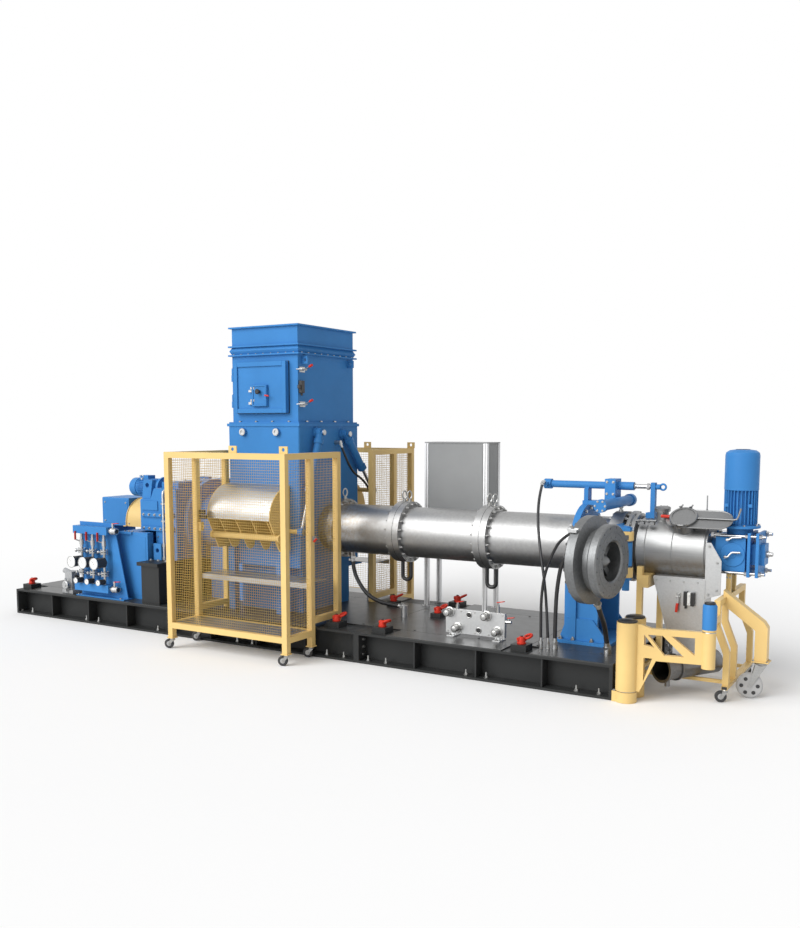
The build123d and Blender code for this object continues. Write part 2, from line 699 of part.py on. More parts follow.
# Toggle clamps and the door switch on the discharge side of the hopper
with BuildPart() as door_clamps:
    for z in (door_bottom + 90, door_top - 90):
        block((box_half_x, box_half_x + 40), (-box_half_y + 20, -box_half_y + 90), (z - 25, z + 25))
        rod((box_half_x + 40, -box_half_y + 50, z), (box_half_x + 150, -box_half_y + 20, z + 40), 12)
    block((box_half_x, box_half_x + 45), (-box_half_y + 10, -box_half_y + 70), (door_bottom + 200, door_bottom + 340))
finish(door_clamps, "door_clamps")

# Feed units on both sides of the housing: rolled cover, ribbed deflector and stand
cover_left = -500.0
cover_right = 350.0
cover_radius = 350.0
cover_sheet = 4.0
cover_bottom = 1340.0
cheek = 12.0
deflector_bottom = 1000.0
deflector_ribs = 4
bar_y = -805.0
bar_z = 1148.0
bar_radius = 32.0
swing_x = hopper_half_x + 62
swing_heads = [(-271.0, hopper_base_top - 95), (224.0, hopper_base_top - 114)]
swing_feet = [(-619.0, axis_height + 1), (769.0, axis_height + 363)]
swing_radius = 42.0
swing_rod = 18.0
swing_eye = 28.0
swing_pin = 24.0
with BuildPart() as feed_cover:
    with BuildSketch(Plane.YZ.offset(cover_left + cheek)) as roll:
        with BuildLine():
            outer = CenterArc((-hopper_half_y, cover_bottom), cover_radius, 90, 90)
            Line(outer @ 1, outer @ 1 + Vector(cover_sheet, 0))
            CenterArc((-hopper_half_y, cover_bottom), cover_radius - cover_sheet, 90, 90)
            Line(outer @ 0 - Vector(0, cover_sheet), outer @ 0)
        make_face()
    extrude(roll.sketch, amount=cover_right - cover_left - 2 * cheek)
    add(feed_cover.part.mirror(Plane.XZ))
finish(feed_cover, "feed_cover")

cover_front = -hopper_half_y - cover_radius
with BuildPart() as feed_deflector:
    # Side cheeks carry the cover and run down beside the deflector
    for x in (cover_left, cover_right - cheek):
        with BuildSketch(Plane.YZ.offset(x)) as side:
            with BuildLine():
                top = CenterArc((-hopper_half_y, cover_bottom), cover_radius, 90, 90)
                Polyline(top @ 1, (cover_front + 170, deflector_bottom), (-hopper_half_y, deflector_bottom), top @ 0)
            make_face()
        extrude(side.sketch, amount=cheek)
    low = Vector(0, cover_front + 200, deflector_bottom + 40)
    high = Vector(0, cover_front + 4, cover_bottom - 4)
    slope = Plane(origin=(cover_left + cheek, low.Y, low.Z), x_dir=(1, 0, 0),
                  z_dir=(0, -(high.Z - low.Z), high.Y - low.Y))
    length = cover_right - cover_left - 2 * cheek
    with BuildSketch(slope) as apron:
        rise = hypot(high.Y - low.Y, high.Z - low.Z)
        with Locations((length / 2, 0)):
            Rectangle(length, rise, align=(Align.CENTER, Align.MIN))
        for step in range(deflector_ribs + 1):
            with Locations((length * step / deflector_ribs, 0)):
                Circle(0.36 * length / deflector_ribs, mode=Mode.SUBTRACT)
    extrude(apron.sketch, amount=-6)
    for step in range(deflector_ribs):
        x = cover_left + cheek + length * (step + 0.5) / deflector_ribs
        with BuildSketch(Plane.YZ.offset(x - 5)) as rib:
            with BuildLine():
                Polyline((low.Y, low.Z), (high.Y, high.Z))
                ThreePointArc((high.Y, high.Z), (low.Y - 90, (low.Z + high.Z) / 2 - 40), (low.Y, low.Z))
            make_face()
        extrude(rib.sketch, amount=10)
    rod((cover_left - 20, bar_y, bar_z), (cover_right + 60, bar_y, bar_z), bar_radius)
    add(feed_deflector.part.mirror(Plane.XZ))
    # Pins for the feet of the two swing cylinders
    for y, z in swing_feet:
        rod((cover_right, y, z), (swing_x + swing_eye, y, z), swing_pin)
finish(feed_deflector, "feed_deflector")

with BuildPart() as feed_stand:
    for side, shift in ((-1, 0), (1, rear_cage_shift)):
        inner_y, outer_y = side * hopper_half_y, side * (hopper_half_y + 80)
        for x in (cover_left + 60, cover_right - 140):
            block((x, x + 80), sorted((inner_y, outer_y)), (deck_top, deflector_bottom))
            block((x, x + 80), sorted((outer_y, -side * (cage_middle + 40))), (shelf_height - 60, shelf_height - sheet))
        block((cage_left + tube + 20 + shift, cage_right - tube - 20 + shift),
              sorted((outer_y, -side * (cage_middle + 20))), (shelf_height - sheet, shelf_height))
finish(feed_stand, "feed_stand")

# Swing cylinders on the discharge face of the housing, one for each feed unit
with BuildPart() as hopper_cylinders:
    for head, foot in zip(swing_heads, swing_feet):
        top, low = Vector(swing_x, *head), Vector(swing_x, *foot)
        along = (low - top).normalized()
        length = (low - top).length
        rod((hopper_half_x, *head), (swing_x - swing_eye, *head), swing_radius + 14)
        rod((swing_x - swing_eye, *head), (swing_x + swing_eye, *head), swing_radius + 4)
        rod((swing_x + swing_eye, *head), (swing_x + swing_eye + 22, *head), swing_pin)
        rod(top, top + along * 0.6 * length, swing_radius)
        for place in (0.07 * length, 0.6 * length - 45):
            rod(top + along * place, top + along * (place + 50), swing_radius + 10)
        rod(top, low, swing_rod)
        rod((swing_x - swing_eye, *foot), (swing_x + swing_eye, *foot), swing_pin + 20)
        rod((swing_x - swing_eye - 1, *foot), (swing_x + swing_eye + 1, *foot), swing_pin + pin_clearance,
            mode=Mode.SUBTRACT)
finish(hopper_cylinders, "hopper_cylinders")


def hose_route(points, start, end, runs):
    # Evenly spaced corners along a smooth curve through the points, with slightly shorter end runs.
    with BuildLine() as curve:
        Spline(*points, tangents=(start, end))
    places = [0] + [(0.8 + step) / (runs - 0.4) for step in range(runs - 1)] + [1]
    return [curve.line @ place for place in places]


def hose(route, diameter, name):
    # A round hose of straight runs with tangent arcs at the corners.
    radii = []
    for before, corner, after in zip(route, route[1:], route[2:]):
        half_turn = radians((corner - before).get_angle(after - corner)) / 2
        radii.append(0.45 * min((corner - before).length, (after - corner).length) / tan(half_turn))
    with BuildLine() as path:
        FilletPolyline(*route, radius=radii)
    with BuildSketch(Plane(origin=route[0], z_dir=route[1] - route[0])) as section:
        Circle(diameter / 2)
    sweep(section.sketch, path.line)
    print(name, "length", round(path.wire().length, 1), "radii", [round(radius) for radius in radii])


def fitting(route, diameter, length):
    # A ferrule that meets the hose's first face, and its lower end.
    back = route[0] - (route[1] - route[0]).normalized() * length
    rod(back, route[0], 0.64 * diameter)
    return back


# Hose routes, from the deck fittings up to the ports
up, down = (0, 0, 1), (0, 0, -1)
fitting_top = deck_top + fitting_length
cap_hose = hose_route([(3325, -680, fitting_top), (3305, -690, 757), (3270, -660, 977), (3179, -580, 1281),
                       (3115, -450, 1543), (3060, -300, 1722), (cap_x, -port_reach - fitting_length, cylinder_z)],
                      up, (0, 1, 0), 6)
lock_hose = hose_route([(3265, -700, fitting_top), (3270, -720, 760), (3312, -760, 990), (3390, -810, 1165),
                        (3502, -880, 1330), (3660, -960, 1420)], up, (1, -0.2, 0.1), 6)
heat_hose = hose_route([(3385, -660, fitting_top), (3400, -690, 800), (3456, -730, 1100), (3640, -810, 1325)],
                       up, (1, -0.2, 0.2), 4)
die_hose_route = hose_route([(3850, -600, fitting_top), (3845, -620, 480), (3850, -730, 640),
                             (3854, -880, 790)], up, (0, -0.5, 0.85), 4)
barrel_hose_route = hose_route([(1425, -70, fitting_top + 40), (1200, -60, 432), (965, -40, 515),
                                (820, -18, 685), (barrel_start + 130, 0, axis_height - 335)], (-1, 0, 0), up, 6)
hopper_hose_route = hose_route([(600, 590, fitting_top), (598, 600, 800), (600, 622, 1200), (602, 650, 1480),
                                (604, 560, 1660), (606, 380, 1745), (608, 215, 1830), (600, 130, 1960),
                                (swing_x + 10, 110, 2106)], up, (-1, 0, 0.6), 10)


def barrel_profile(points):
    # A turned barrel section about the screw axis, from its outer outline of (x, radius) pairs.
    first, last = points[0][0], points[-1][0]
    with BuildSketch(Plane.XZ) as half:
        with BuildLine():
            Polyline((first, axis_height + barrel_bore), *[(x, axis_height + r) for x, r in points],
                     (last, axis_height + barrel_bore), close=True)
        make_face()
    revolve(half.sketch, axis=Axis((0, 0, axis_height), (1, 0, 0)))


with BuildPart() as barrel_feed:
    barrel_profile([(hopper_half_x, barrel_radius - 20), (barrel_start, barrel_radius - 20),
                    (barrel_start, flange_radius), (barrel_start + flange_thick, flange_radius),
                    (barrel_start + flange_thick, barrel_radius), (barrel_joint_1 - flange_thick, barrel_radius),
                    (barrel_joint_1 - flange_thick, flange_radius), (barrel_joint_1, flange_radius)])
    # Port for the hose underneath
    port, before = barrel_hose_route[-1], barrel_hose_route[-2]
    rod(port, port + (port - before).normalized() * 130, 0.64 * drain_hose_diameter)
    rod((hopper_half_x, 0, axis_height), (barrel_joint_1, 0, axis_height), barrel_bore, mode=Mode.SUBTRACT)
finish(barrel_feed, "barrel_feed")

with BuildPart() as barrel_middle:
    barrel_profile([(barrel_joint_1, flange_radius), (barrel_joint_1 + flange_thick, flange_radius),
                    (barrel_joint_1 + flange_thick, barrel_radius), (barrel_joint_2 - flange_thick, barrel_radius),
                    (barrel_joint_2 - flange_thick, flange_radius), (barrel_joint_2, flange_radius)])
finish(barrel_middle, "barrel_middle")

with BuildPart() as barrel_outlet:
    barrel_profile([(barrel_joint_2, flange_radius), (barrel_joint_2 + flange_thick, flange_radius),
                    (barrel_joint_2 + flange_thick, barrel_radius), (barrel_end - end_flange / 2, barrel_radius),
                    (barrel_end - end_flange / 2, flange_radius), (barrel_end + end_flange / 2, flange_radius)])
finish(barrel_outlet, "barrel_outlet")


# Control cabinet between four aluminium posts
with BuildPart() as cabinet:
    block((cabinet_left + post, cabinet_right - post), (cabinet_front + 6, cabinet_back - 6), (cabinet_bottom, cabinet_top - 12))
    block((cabinet_left + 6, cabinet_right - 6), (cabinet_front + post, cabinet_back - post), (cabinet_bottom, cabinet_top - 12))
    block((cabinet_left, cabinet_right), (cabinet_front, cabinet_back), (cabinet_top - 12, cabinet_top))
finish(cabinet, "cabinet")

with BuildPart() as cabinet_posts:
    for x in (cabinet_left, cabinet_right - post):
        for y in (cabinet_front, cabinet_back - post):
            block((x, x + post), (y, y + post), (deck_top, cabinet_top - 12))
finish(cabinet_posts, "cabinet_posts")

# Valve block on its feet, with four hose nozzles
block_left = 2260.0
block_length = 620.0
block_front = -640.0
block_thick = 40.0
block_bottom = deck_top + 30
block_height = 235.0
with BuildPart() as valve_block:
    with BuildSketch(Plane.XZ.offset(-block_front - block_thick)) as face:
        with Locations((block_left + block_length / 2, block_bottom + block_height / 2)):
            Rectangle(block_length, block_height)
        for x in (0.33, 0.71):
            with Locations((block_left + x * block_length, block_bottom + 0.5 * block_height)):
                Circle(20, mode=Mode.SUBTRACT)
    extrude(face.sketch, amount=block_thick)
    for x in (0.14, 0.42, 0.62, 0.88):
        with Locations(Plane(origin=(block_left + x * block_length, block_front, block_bottom + 0.5 * block_height), z_dir=(0, -1, 0))):
            Cylinder(34, 70, align=(Align.CENTER, Align.CENTER, Align.MIN))
    for x in (block_left + 30, block_left + block_length - 110):
        block((x, x + 80), (block_front, block_front + block_thick + 60), (deck_top, block_bottom))
finish(valve_block, "valve_block")

# Die column: base plate, ribbed side plates and a saddle that clamps the barrel's end
with BuildPart() as die_column:
    block((column_left, column_right), (-column_half_y, column_half_y), (deck_top, deck_top + column_plate))
    with BuildSketch(Plane.YZ.offset(column_left + 120)) as frame_plate:
        with Locations((0, deck_top + column_plate)):
            Rectangle(2 * saddle - 60, axis_height - deck_top - column_plate, align=(Align.CENTER, Align.MIN))
        with Locations((0, axis_height)):
            Circle(saddle)
        with Locations((0, axis_height)):
            Circle(barrel_radius, mode=Mode.SUBTRACT)
    extrude(frame_plate.sketch, amount=60)
    base = deck_top + column_plate
    for y in (-saddle + 60, saddle - 90):
        block((column_left + 60, column_left + 380), (y, y + 30), (base, axis_height - flange_radius - 10))
    for y in (-saddle + 60, saddle - 40):
        plate([(column_left + 30, base), (column_right - 50, base), (column_right - 50, base + 30),
               (column_left + 340, base + 200), (column_left + 90, base + 200), (column_left + 30, base + 30)],
              Plane.XZ.offset(-y), 20)
    # Beam and post over the barrel for the closing cylinders
    block((column_left + 120, column_right - 85), (-60, 60), (beam_bottom, beam_bottom + 40))
    block((column_left + 130, column_left + 170), (-50, 50), (beam_bottom, post_top))
finish(die_column, "die_column")

# Closing cylinder over the barrel's end, with a block and a cross cylinder on the column's beam
cylinder_block = column_right - 170
cross_radius = 48.0
cross_front = -640.0
cross_back = 240.0
pull_left = drum_left + 69
with BuildPart() as die_cylinders:
    block((column_left + 130, column_left + 170), (-30, 30), (post_top, cylinder_z))
    rod((cap_x, 0, cylinder_z), (cylinder_block, 0, cylinder_z), cylinder_radius)
    rod((cap_x - 35, 0, cylinder_z), (cap_x + 35, 0, cylinder_z), cylinder_radius + 14)
    rod((cap_x, 0, cylinder_z), (cap_x, -port_reach, cylinder_z), 22)
    block((cylinder_block, cylinder_block + 100), (-110, 60), (beam_bottom + 40, cylinder_z + 65))
    rod((cylinder_block + 100, 0, cylinder_z), (cylinder_block + 245, 0, cylinder_z), cylinder_radius + 4)
    rod((cylinder_block + 245, 0, cylinder_z), (pull_left - running_gap, 0, cylinder_z), 20)
    cross_x = cylinder_block + 100 + cross_radius - 8
    cross_z = beam_bottom + 40
    rod((cross_x, cross_front, cross_z), (cross_x, cross_back, cross_z), cross_radius)
    for y in (cross_front, cross_back - 60):
        rod((cross_x, y, cross_z), (cross_x, y + 60, cross_z), cross_radius + 10)
finish(die_cylinders, "die_cylinders")

# Die head, swung open to the operator's side: flange, waist, nose ring and the core inside its bore
die_normal = Vector(cos(radians(die_turn)), -sin(radians(die_turn)), 0)
die_frame = Plane(origin=(die_x, die_y, axis_height), x_dir=(0, 0, 1), z_dir=die_normal)
die_waist = 262.0
collar_zs = (axis_height - 190, axis_height + 110)
collar_tall = 80.0
with BuildPart() as die_head:
    with BuildSketch(Plane(origin=die_frame.origin, x_dir=(0, 0, 1), z_dir=die_frame.y_dir)) as half:
        with BuildLine():
            Polyline(
                (0, 0), (die_flange_radius - 10, 0), (die_flange_radius, -10), (die_flange_radius, -die_flange),
                (die_waist, -die_flange - 25), (die_waist, -die_thick + 95), (die_nose_radius - 8, -die_thick + 80),
                (die_nose_radius, -die_thick + 70), (die_nose_radius, -die_thick + 10),
                (die_nose_radius - 10, -die_thick), (die_bore + 12, -die_thick), (die_bore, -die_thick + 12),
                (die_bore, -90), (40, -90), (0, -die_thick + 40), close=True,
            )
        make_face()
    revolve(half.sketch, axis=Axis(die_frame.origin, die_normal))
    # Port for the hose underneath
    port, before = die_hose_route[-1], die_hose_route[-2]
    rod(port, port + (port - before).normalized() * 150, 0.64 * drain_hose_diameter)
    # Hinge arms with collars round the pin
    for z in collar_zs:
        plate([(die_x + 20, die_y + 180), (die_x + 120, die_y + 180), (hinge_x + 40, hinge_y - 30),
               (hinge_x - 40, hinge_y - 30)], Plane.XY.offset(z + 20), collar_tall - 40)
        rod((hinge_x, hinge_y, z), (hinge_x, hinge_y, z + collar_tall), hinge_pin + 22)
        rod((hinge_x, hinge_y, z - 1), (hinge_x, hinge_y, z + collar_tall + 1), hinge_pin + pin_clearance,
            mode=Mode.SUBTRACT)
finish(die_head, "die_head")

# Hinge bracket on the barrel's end flange, with the standing pin
barrel_face = barrel_end + end_flange / 2
with BuildPart() as die_hinge:
    block((barrel_face, barrel_face + 18), (-flange_radius - 150, -barrel_bore - 60),
          (axis_height - hinge_plates, axis_height + hinge_plates))
    for z in (axis_height - hinge_plates, axis_height + hinge_plates - 30):
        plate([(barrel_face, -flange_radius - 25), (barrel_face, -flange_radius - 150), (hinge_x - 40, hinge_y - 40),
               (hinge_x + 40, hinge_y - 40), (hinge_x + 40, hinge_y + 30), (barrel_face + 30, -flange_radius - 25)],
              Plane.XY.offset(z), 30)
    rod((hinge_x, hinge_y, hinge_bottom), (hinge_x, hinge_y, hinge_top), hinge_pin)
finish(die_hinge, "die_hinge")

# Pivot posts bolted to the end of the skid
post_radius = bollard_radius - 20
with BuildPart() as pivot_posts:
    for y in (bollard_y, rear_bollard_y):
        block((skid_right, bollard_x), (y - 60, y + 60), (0, bollard_base))
        rod((bollard_x, y, 0), (bollard_x, y, bollard_base), bollard_radius)
    rod((bollard_x, bollard_y, 0), (bollard_x, bollard_y, bollard_height - 40), post_radius)
    rod((bollard_x, rear_bollard_y, 0), (bollard_x, rear_bollard_y, bollard_height), bollard_radius)
finish(pivot_posts, "pivot_posts")

# Swing arm: a sleeve on the front post, a flat truss and the outer pivot
reach = hypot(outer_post_x - bollard_x, outer_post_y - bollard_y)
along = Vector(outer_post_x - bollard_x, outer_post_y - bollard_y, 0) / reach
arm_plane = Plane(origin=(bollard_x, bollard_y, 0), x_dir=along, z_dir=(along.Y, -along.X, 0))
sleeve_bottom = bollard_base + running_gap
chord = 52.0
pivot_pin = outer_post_radius - 22
with BuildPart() as swing_arm:
    with BuildSketch(arm_plane.offset(-arm_thick / 2)) as truss:
        with BuildLine():
            Polyline(
                (post_radius + 8, sleeve_bottom), (bollard_radius + 20, sleeve_bottom), (bollard_radius + 150, arm_bottom),
                (reach - outer_post_radius + 12, arm_bottom), (reach - outer_post_radius + 12, arm_top),
                (bollard_radius + 110, arm_top), (bollard_radius + 20, arm_top + 30), (post_radius + 8, arm_top + 30),
                close=True,
            )
        make_face()
        with BuildLine():
            Polyline((bollard_radius + 50, arm_bottom + 130), (bollard_radius + 50, arm_top - chord),
                     (bollard_radius + 135, arm_bottom + chord + 60), close=True)
        make_face(mode=Mode.SUBTRACT)
        with BuildLine():
            Polyline((bollard_radius + 80, arm_top - chord), (bollard_radius + 200, arm_top - chord),
                     (reach - 190, arm_bottom + chord), (bollard_radius + 215, arm_bottom + chord), close=True)
        make_face(mode=Mode.SUBTRACT)
        with BuildLine():
            Polyline((bollard_radius + 270, arm_top - chord), (reach - outer_post_radius - chord, arm_top - chord),
                     (reach - outer_post_radius - chord, arm_bottom + chord + 20), close=True)
        make_face(mode=Mode.SUBTRACT)
        with BuildLine():
            Polyline((bollard_radius + 50, sleeve_bottom + 90), (bollard_radius + 50, arm_bottom + 20),
                     (bollard_radius + 120, arm_bottom + 20), close=True)
        make_face(mode=Mode.SUBTRACT)
    extrude(truss.sketch, amount=arm_thick)
    rod((bollard_x, bollard_y, sleeve_bottom), (bollard_x, bollard_y, bollard_height), bollard_radius)
    rod((bollard_x, bollard_y, sleeve_bottom), (bollard_x, bollard_y, bollard_height - 30), post_radius + pin_clearance,
        mode=Mode.SUBTRACT)
    rod((outer_post_x, outer_post_y, arm_bottom - 30), (outer_post_x, outer_post_y, arm_top), outer_post_radius)
    rod((outer_post_x, outer_post_y, arm_bottom), (outer_post_x, outer_post_y, sleeve_top - 30), pivot_pin)
finish(swing_arm, "swing_arm")

# Pelletizer drum with its docking ring, top ports and lids
with BuildPart() as pelletizer_drum:
    with BuildSketch(Plane.XZ) as half:
        with BuildLine():
            Polyline(
                (drum_left - dock_ring, axis_height + 200), (drum_left - dock_ring, axis_height + dock_ring_radius),
                (drum_left - dock_ring + 30, axis_height + dock_ring_radius),
                (drum_left - dock_ring + 40, axis_height + dock_ring_radius - 18),
                (drum_left - 10, axis_height + dock_ring_radius - 18), (drum_left, axis_height + drum_radius),
                (drum_right, axis_height + drum_radius), (drum_right, axis_height),
                (drum_left + 40, axis_height), (drum_left + 40, axis_height + 200), close=True,
            )
        make_face()
    revolve(half.sketch, axis=Axis((0, 0, axis_height), (1, 0, 0)))
    # Clamp-ring port, leaning to the operator's side, and the oval cover beside it
    lean = Vector(0, -sin(radians(35)), cos(radians(35)))
    centre = Vector(drum_left + 370, 0, axis_height)
    rod(centre + lean * (drum_radius - 40), centre + lean * (drum_radius + 50), 85)
    rod(centre + lean * (drum_radius + 50), centre + lean * (drum_radius + 80), 105)
    upper = Vector(0, -sin(radians(8)), cos(radians(8)))
    small = Vector(drum_left + 190, 0, axis_height)
    rod(small + upper * (drum_radius - 40), small + upper * (drum_radius + 70), 55)
    rod(small + upper * (drum_radius + 70), small + upper * (drum_radius + 90), 70)
finish(pelletizer_drum, "pelletizer_drum")

# Arm clamped on the drum, which the closing cylinder pulls on
with BuildPart() as pull_arm:
    block((pull_left - 35, pull_left + 45), (-45, 45), (axis_height + drum_radius - 10, axis_height + drum_radius + 45))
    plate([(pull_left, axis_height + drum_radius), (pull_left + 40, axis_height + drum_radius),
           (pull_left + 40, cylinder_z + 38), (pull_left, cylinder_z + 38)], Plane.XZ.offset(-30), 60)
    rod((pull_left + 40, 0, cylinder_z), (pull_left + 80, 0, cylinder_z), 24)
    with Locations(Plane(origin=(pull_left + 105, 0, cylinder_z), z_dir=(0, 1, 0))):
        Torus(26, 9)
    rod((drum_left, 0, axis_height), (drum_right, 0, axis_height), drum_radius, mode=Mode.SUBTRACT)
finish(pull_arm, "pull_arm")

# Discharge chute under the drum, standing on the outlet tube
tube_radius = 105.0
tube_length = 640.0
tube_near = Vector(drum_left + 375, -640, 245.5)
tube_along = Vector(0.5, 0.866, 0).normalized()
tube_far = tube_near + tube_along * tube_length
chute_back = -20.0
chute_front = -drum_radius - 8
with BuildPart() as discharge_chute:
    plate([(drum_left + 190, axis_height - 215), (drum_right, axis_height - 215), (drum_right, axis_height - 633),
           (drum_right - 30, tube_near.Z + 40), (drum_right - 150, tube_near.Z + 40),
           (drum_left + 313, axis_height - 670)], Plane.XZ.offset(-chute_back), chute_back - chute_front)
    rod((drum_left, 0, axis_height), (drum_right + 1, 0, axis_height), drum_radius + pin_clearance, mode=Mode.SUBTRACT)
    rod(tube_near, tube_far, tube_radius + pin_clearance, mode=Mode.SUBTRACT)
    # Guard plate at the drive end of the drum
    plate([(drum_right, axis_height + 103), (drum_right + 44, axis_height + 103), (drum_right + 135, axis_height - 50),
           (drum_right + 135, axis_height - 345), (drum_right, axis_height - 391)],
          Plane.XZ.offset(-chute_front - 10), 10)
finish(discharge_chute, "discharge_chute")

with BuildPart() as outlet_tube:
    rod(tube_near, tube_far, tube_radius)
    rod(tube_near, tube_near + tube_along * 18, tube_radius + 15)
    rod(tube_near + tube_along * 150, tube_near + tube_along * 168, tube_radius + 12)
    rod(tube_near - tube_along, tube_far - tube_along * 60, tube_radius - 8, mode=Mode.SUBTRACT)
    drain = tube_near + tube_along * 80
    rod(drain - Vector(0, 0, tube_radius + 55), drain - Vector(0, 0, tube_radius - 6), 22)
finish(outlet_tube, "outlet_tube")

# Cutter gearbox between bearing plates, with its tie rods
box_left = drum_right + 50
box_right = box_left + 250
with BuildPart() as cutter_gearbox:
    rod((drum_right, 0, axis_height), (box_left, 0, axis_height), 120)
    block((box_left, box_right), (-140, 140), (axis_height - 170, cutter_box_top))
    for x in (box_right + 20, box_right + 90):
        block((x, x + 24), (-170, 170), (axis_height - 190, axis_height + 190))
    block((box_right, box_right + 150), (-90, 90), (axis_height - 90, axis_height + 90))
    for y in (-150, 150):
        for z in (axis_height - 160, axis_height + 160):
            rod((drum_right, y, z), (box_right + 170, y, z), 12)
    with Locations((cutter_motor_x, 0, cutter_box_top)):
        Cylinder(cutter_motor_radius - 40, 60, align=(Align.CENTER, Align.CENTER, Align.MIN))
finish(cutter_gearbox, "cutter_gearbox")

# Vertical motor on the cutter gearbox
motor_foot = cutter_box_top + 60
with BuildPart() as cutter_motor:
    with BuildSketch(Plane.XZ) as half:
        with BuildLine():
            Polyline(
                (cutter_motor_x, motor_foot), (cutter_motor_x + cutter_motor_radius + 20, motor_foot),
                (cutter_motor_x + cutter_motor_radius + 20, motor_foot + 25),
                (cutter_motor_x + cutter_motor_radius - 15, motor_foot + 40),
                (cutter_motor_x + cutter_motor_radius - 15, motor_foot + 330),
                (cutter_motor_x + cutter_motor_radius, motor_foot + 330),
                (cutter_motor_x + cutter_motor_radius, cutter_motor_top - 40),
                (cutter_motor_x + 40, cutter_motor_top), (cutter_motor_x, cutter_motor_top), close=True,
            )
        make_face()
    revolve(half.sketch, axis=Axis((cutter_motor_x, 0, 0), (0, 0, 1)))
finish(cutter_motor, "cutter_motor")

# Trolley frame of square tube under the pelletizer, with bent legs and an arm to the large castor
leg = 50.0
rail = 30.0
rail_z = 110.0
leg_y = 330.0
leg_x = drum_left + 60
bar_x = drum_right + 140
bar_top = axis_height - 350
castor_x = bar_x + 110
castor_y = 517.0
big_x = bar_x + 345
big_y = -250.0
big_arm = 100.0
big_foot = 2 * big_castor_radius + 100
with BuildPart() as trolley_frame:
    for side in (-1, 1):
        y = side * leg_y
        block((leg_x, leg_x + leg), (y - leg / 2, y + leg / 2), (rail_z, axis_height - 0.5 * drum_radius))
        block((leg_x, castor_x + leg / 2), (y - rail / 2, y + rail / 2), (rail_z, rail_z + rail))
    block((leg_x, leg_x + rail), (-leg_y, leg_y), (rail_z, rail_z + rail))
    block((castor_x - leg / 2, castor_x + leg / 2), (-castor_y - leg / 2, castor_y + leg / 2), (rail_z, rail_z + rail))
    # Bent legs up to the cross bar, and struts from the bar to the cutter gearbox
    block((bar_x, bar_x + leg), (-castor_y, castor_y), (bar_top - leg, bar_top))
    for y in (-castor_y + leg / 2, big_y + leg, castor_y - leg / 2):
        plate([(bar_x, bar_top), (bar_x + leg, bar_top), (bar_x + leg, bar_top - 220),
               (castor_x + leg / 2, bar_top - 440), (castor_x + leg / 2, rail_z), (castor_x - leg / 2, rail_z),
               (castor_x - leg / 2, bar_top - 455), (bar_x, bar_top - 240)],
              Plane.XZ.offset(-y - leg / 2), leg)
    for y in (-100, 100):
        block((bar_x + 5, bar_x + leg - 5), (y - 20, y + 20), (bar_top, axis_height - 170))
    # Cradle bars that carry the drum
    block((leg_x, leg_x + 105), (-leg_y - leg / 2, leg_y + leg / 2),
          (axis_height - drum_radius - leg, axis_height - drum_radius + 60))
    rod((drum_left, 0, axis_height), (drum_right, 0, axis_height), drum_radius + pin_clearance, mode=Mode.SUBTRACT)
    # Bent arm to the large castor
    plate([(bar_x + 25, bar_top + 55), (big_x + 18, bar_top - 192), (big_x + big_arm / 2, bar_top - 240),
           (big_x + big_arm / 2, big_foot + 10), (big_x - big_arm / 2, big_foot + 10),
           (big_x - big_arm / 2, bar_top - 270), (bar_x + 25, bar_top - 70)],
          Plane.XZ.offset(-big_y - big_arm / 2), big_arm)
    block((big_x - 70, big_x + 70), (big_y - 65, big_y + 65), (big_foot, big_foot + 10))
    # Bracket and sleeve that ride on the outer pivot
    block((outer_post_x - 20, bar_x + leg), (outer_post_y + 20, -castor_y + leg / 2), (arm_top + 40, arm_top + 100))
    rod((outer_post_x, outer_post_y, arm_top + running_gap), (outer_post_x, outer_post_y, sleeve_top),
        outer_post_radius)
    rod((outer_post_x, outer_post_y, arm_top), (outer_post_x, outer_post_y, sleeve_top - 25), pivot_pin + pin_clearance,
        mode=Mode.SUBTRACT)
finish(trolley_frame, "trolley_frame")

with BuildPart() as trolley_castors:
    for y in (-castor_y, castor_y):
        castor(castor_x, y, rail_z, small_castor_radius, castor_width, (-30.0, -12.0))
    castor(big_x, big_y, big_foot, big_castor_radius, 50.0, (-85.0, -20.0))
finish(trolley_castors, "trolley_castors")

# Rigid pipes that carry the heating medium across the barrel's joints
jumper_half = 50.0
jumper_radius = 20.0
jumper_drop = 190.0
with BuildPart() as jumper_pipes:
    for x in (barrel_joint_1, barrel_joint_2):
        high = axis_height - flange_radius
        with BuildLine() as bend:
            FilletPolyline((x - jumper_half, 0, high), (x - jumper_half, 0, high - jumper_drop),
                           (x + jumper_half, 0, high - jumper_drop), (x + jumper_half, 0, high), radius=45)
        with BuildSketch(Plane(origin=(x - jumper_half, 0, high), z_dir=down)) as round_section:
            Circle(jumper_radius)
        sweep(round_section.sketch, bend.line)
finish(jumper_pipes, "jumper_pipes")

# Hoses of the die station, the barrel and the hopper
with BuildPart() as column_hoses:
    hose(cap_hose, hose_diameter, "cap hose")
    hose(lock_hose, hose_diameter, "lock hose")
    hose(heat_hose, feed_hose_diameter, "heat hose")
finish(column_hoses, "column_hoses")

with BuildPart() as die_hose:
    hose(die_hose_route, drain_hose_diameter, "die hose")
finish(die_hose, "die_hose")

with BuildPart() as barrel_hose:
    hose(barrel_hose_route, drain_hose_diameter, "barrel hose")
finish(barrel_hose, "barrel_hose")

with BuildPart() as hopper_hose:
    hose(hopper_hose_route, hose_diameter, "hopper hose")
finish(hopper_hose, "hopper_hose")

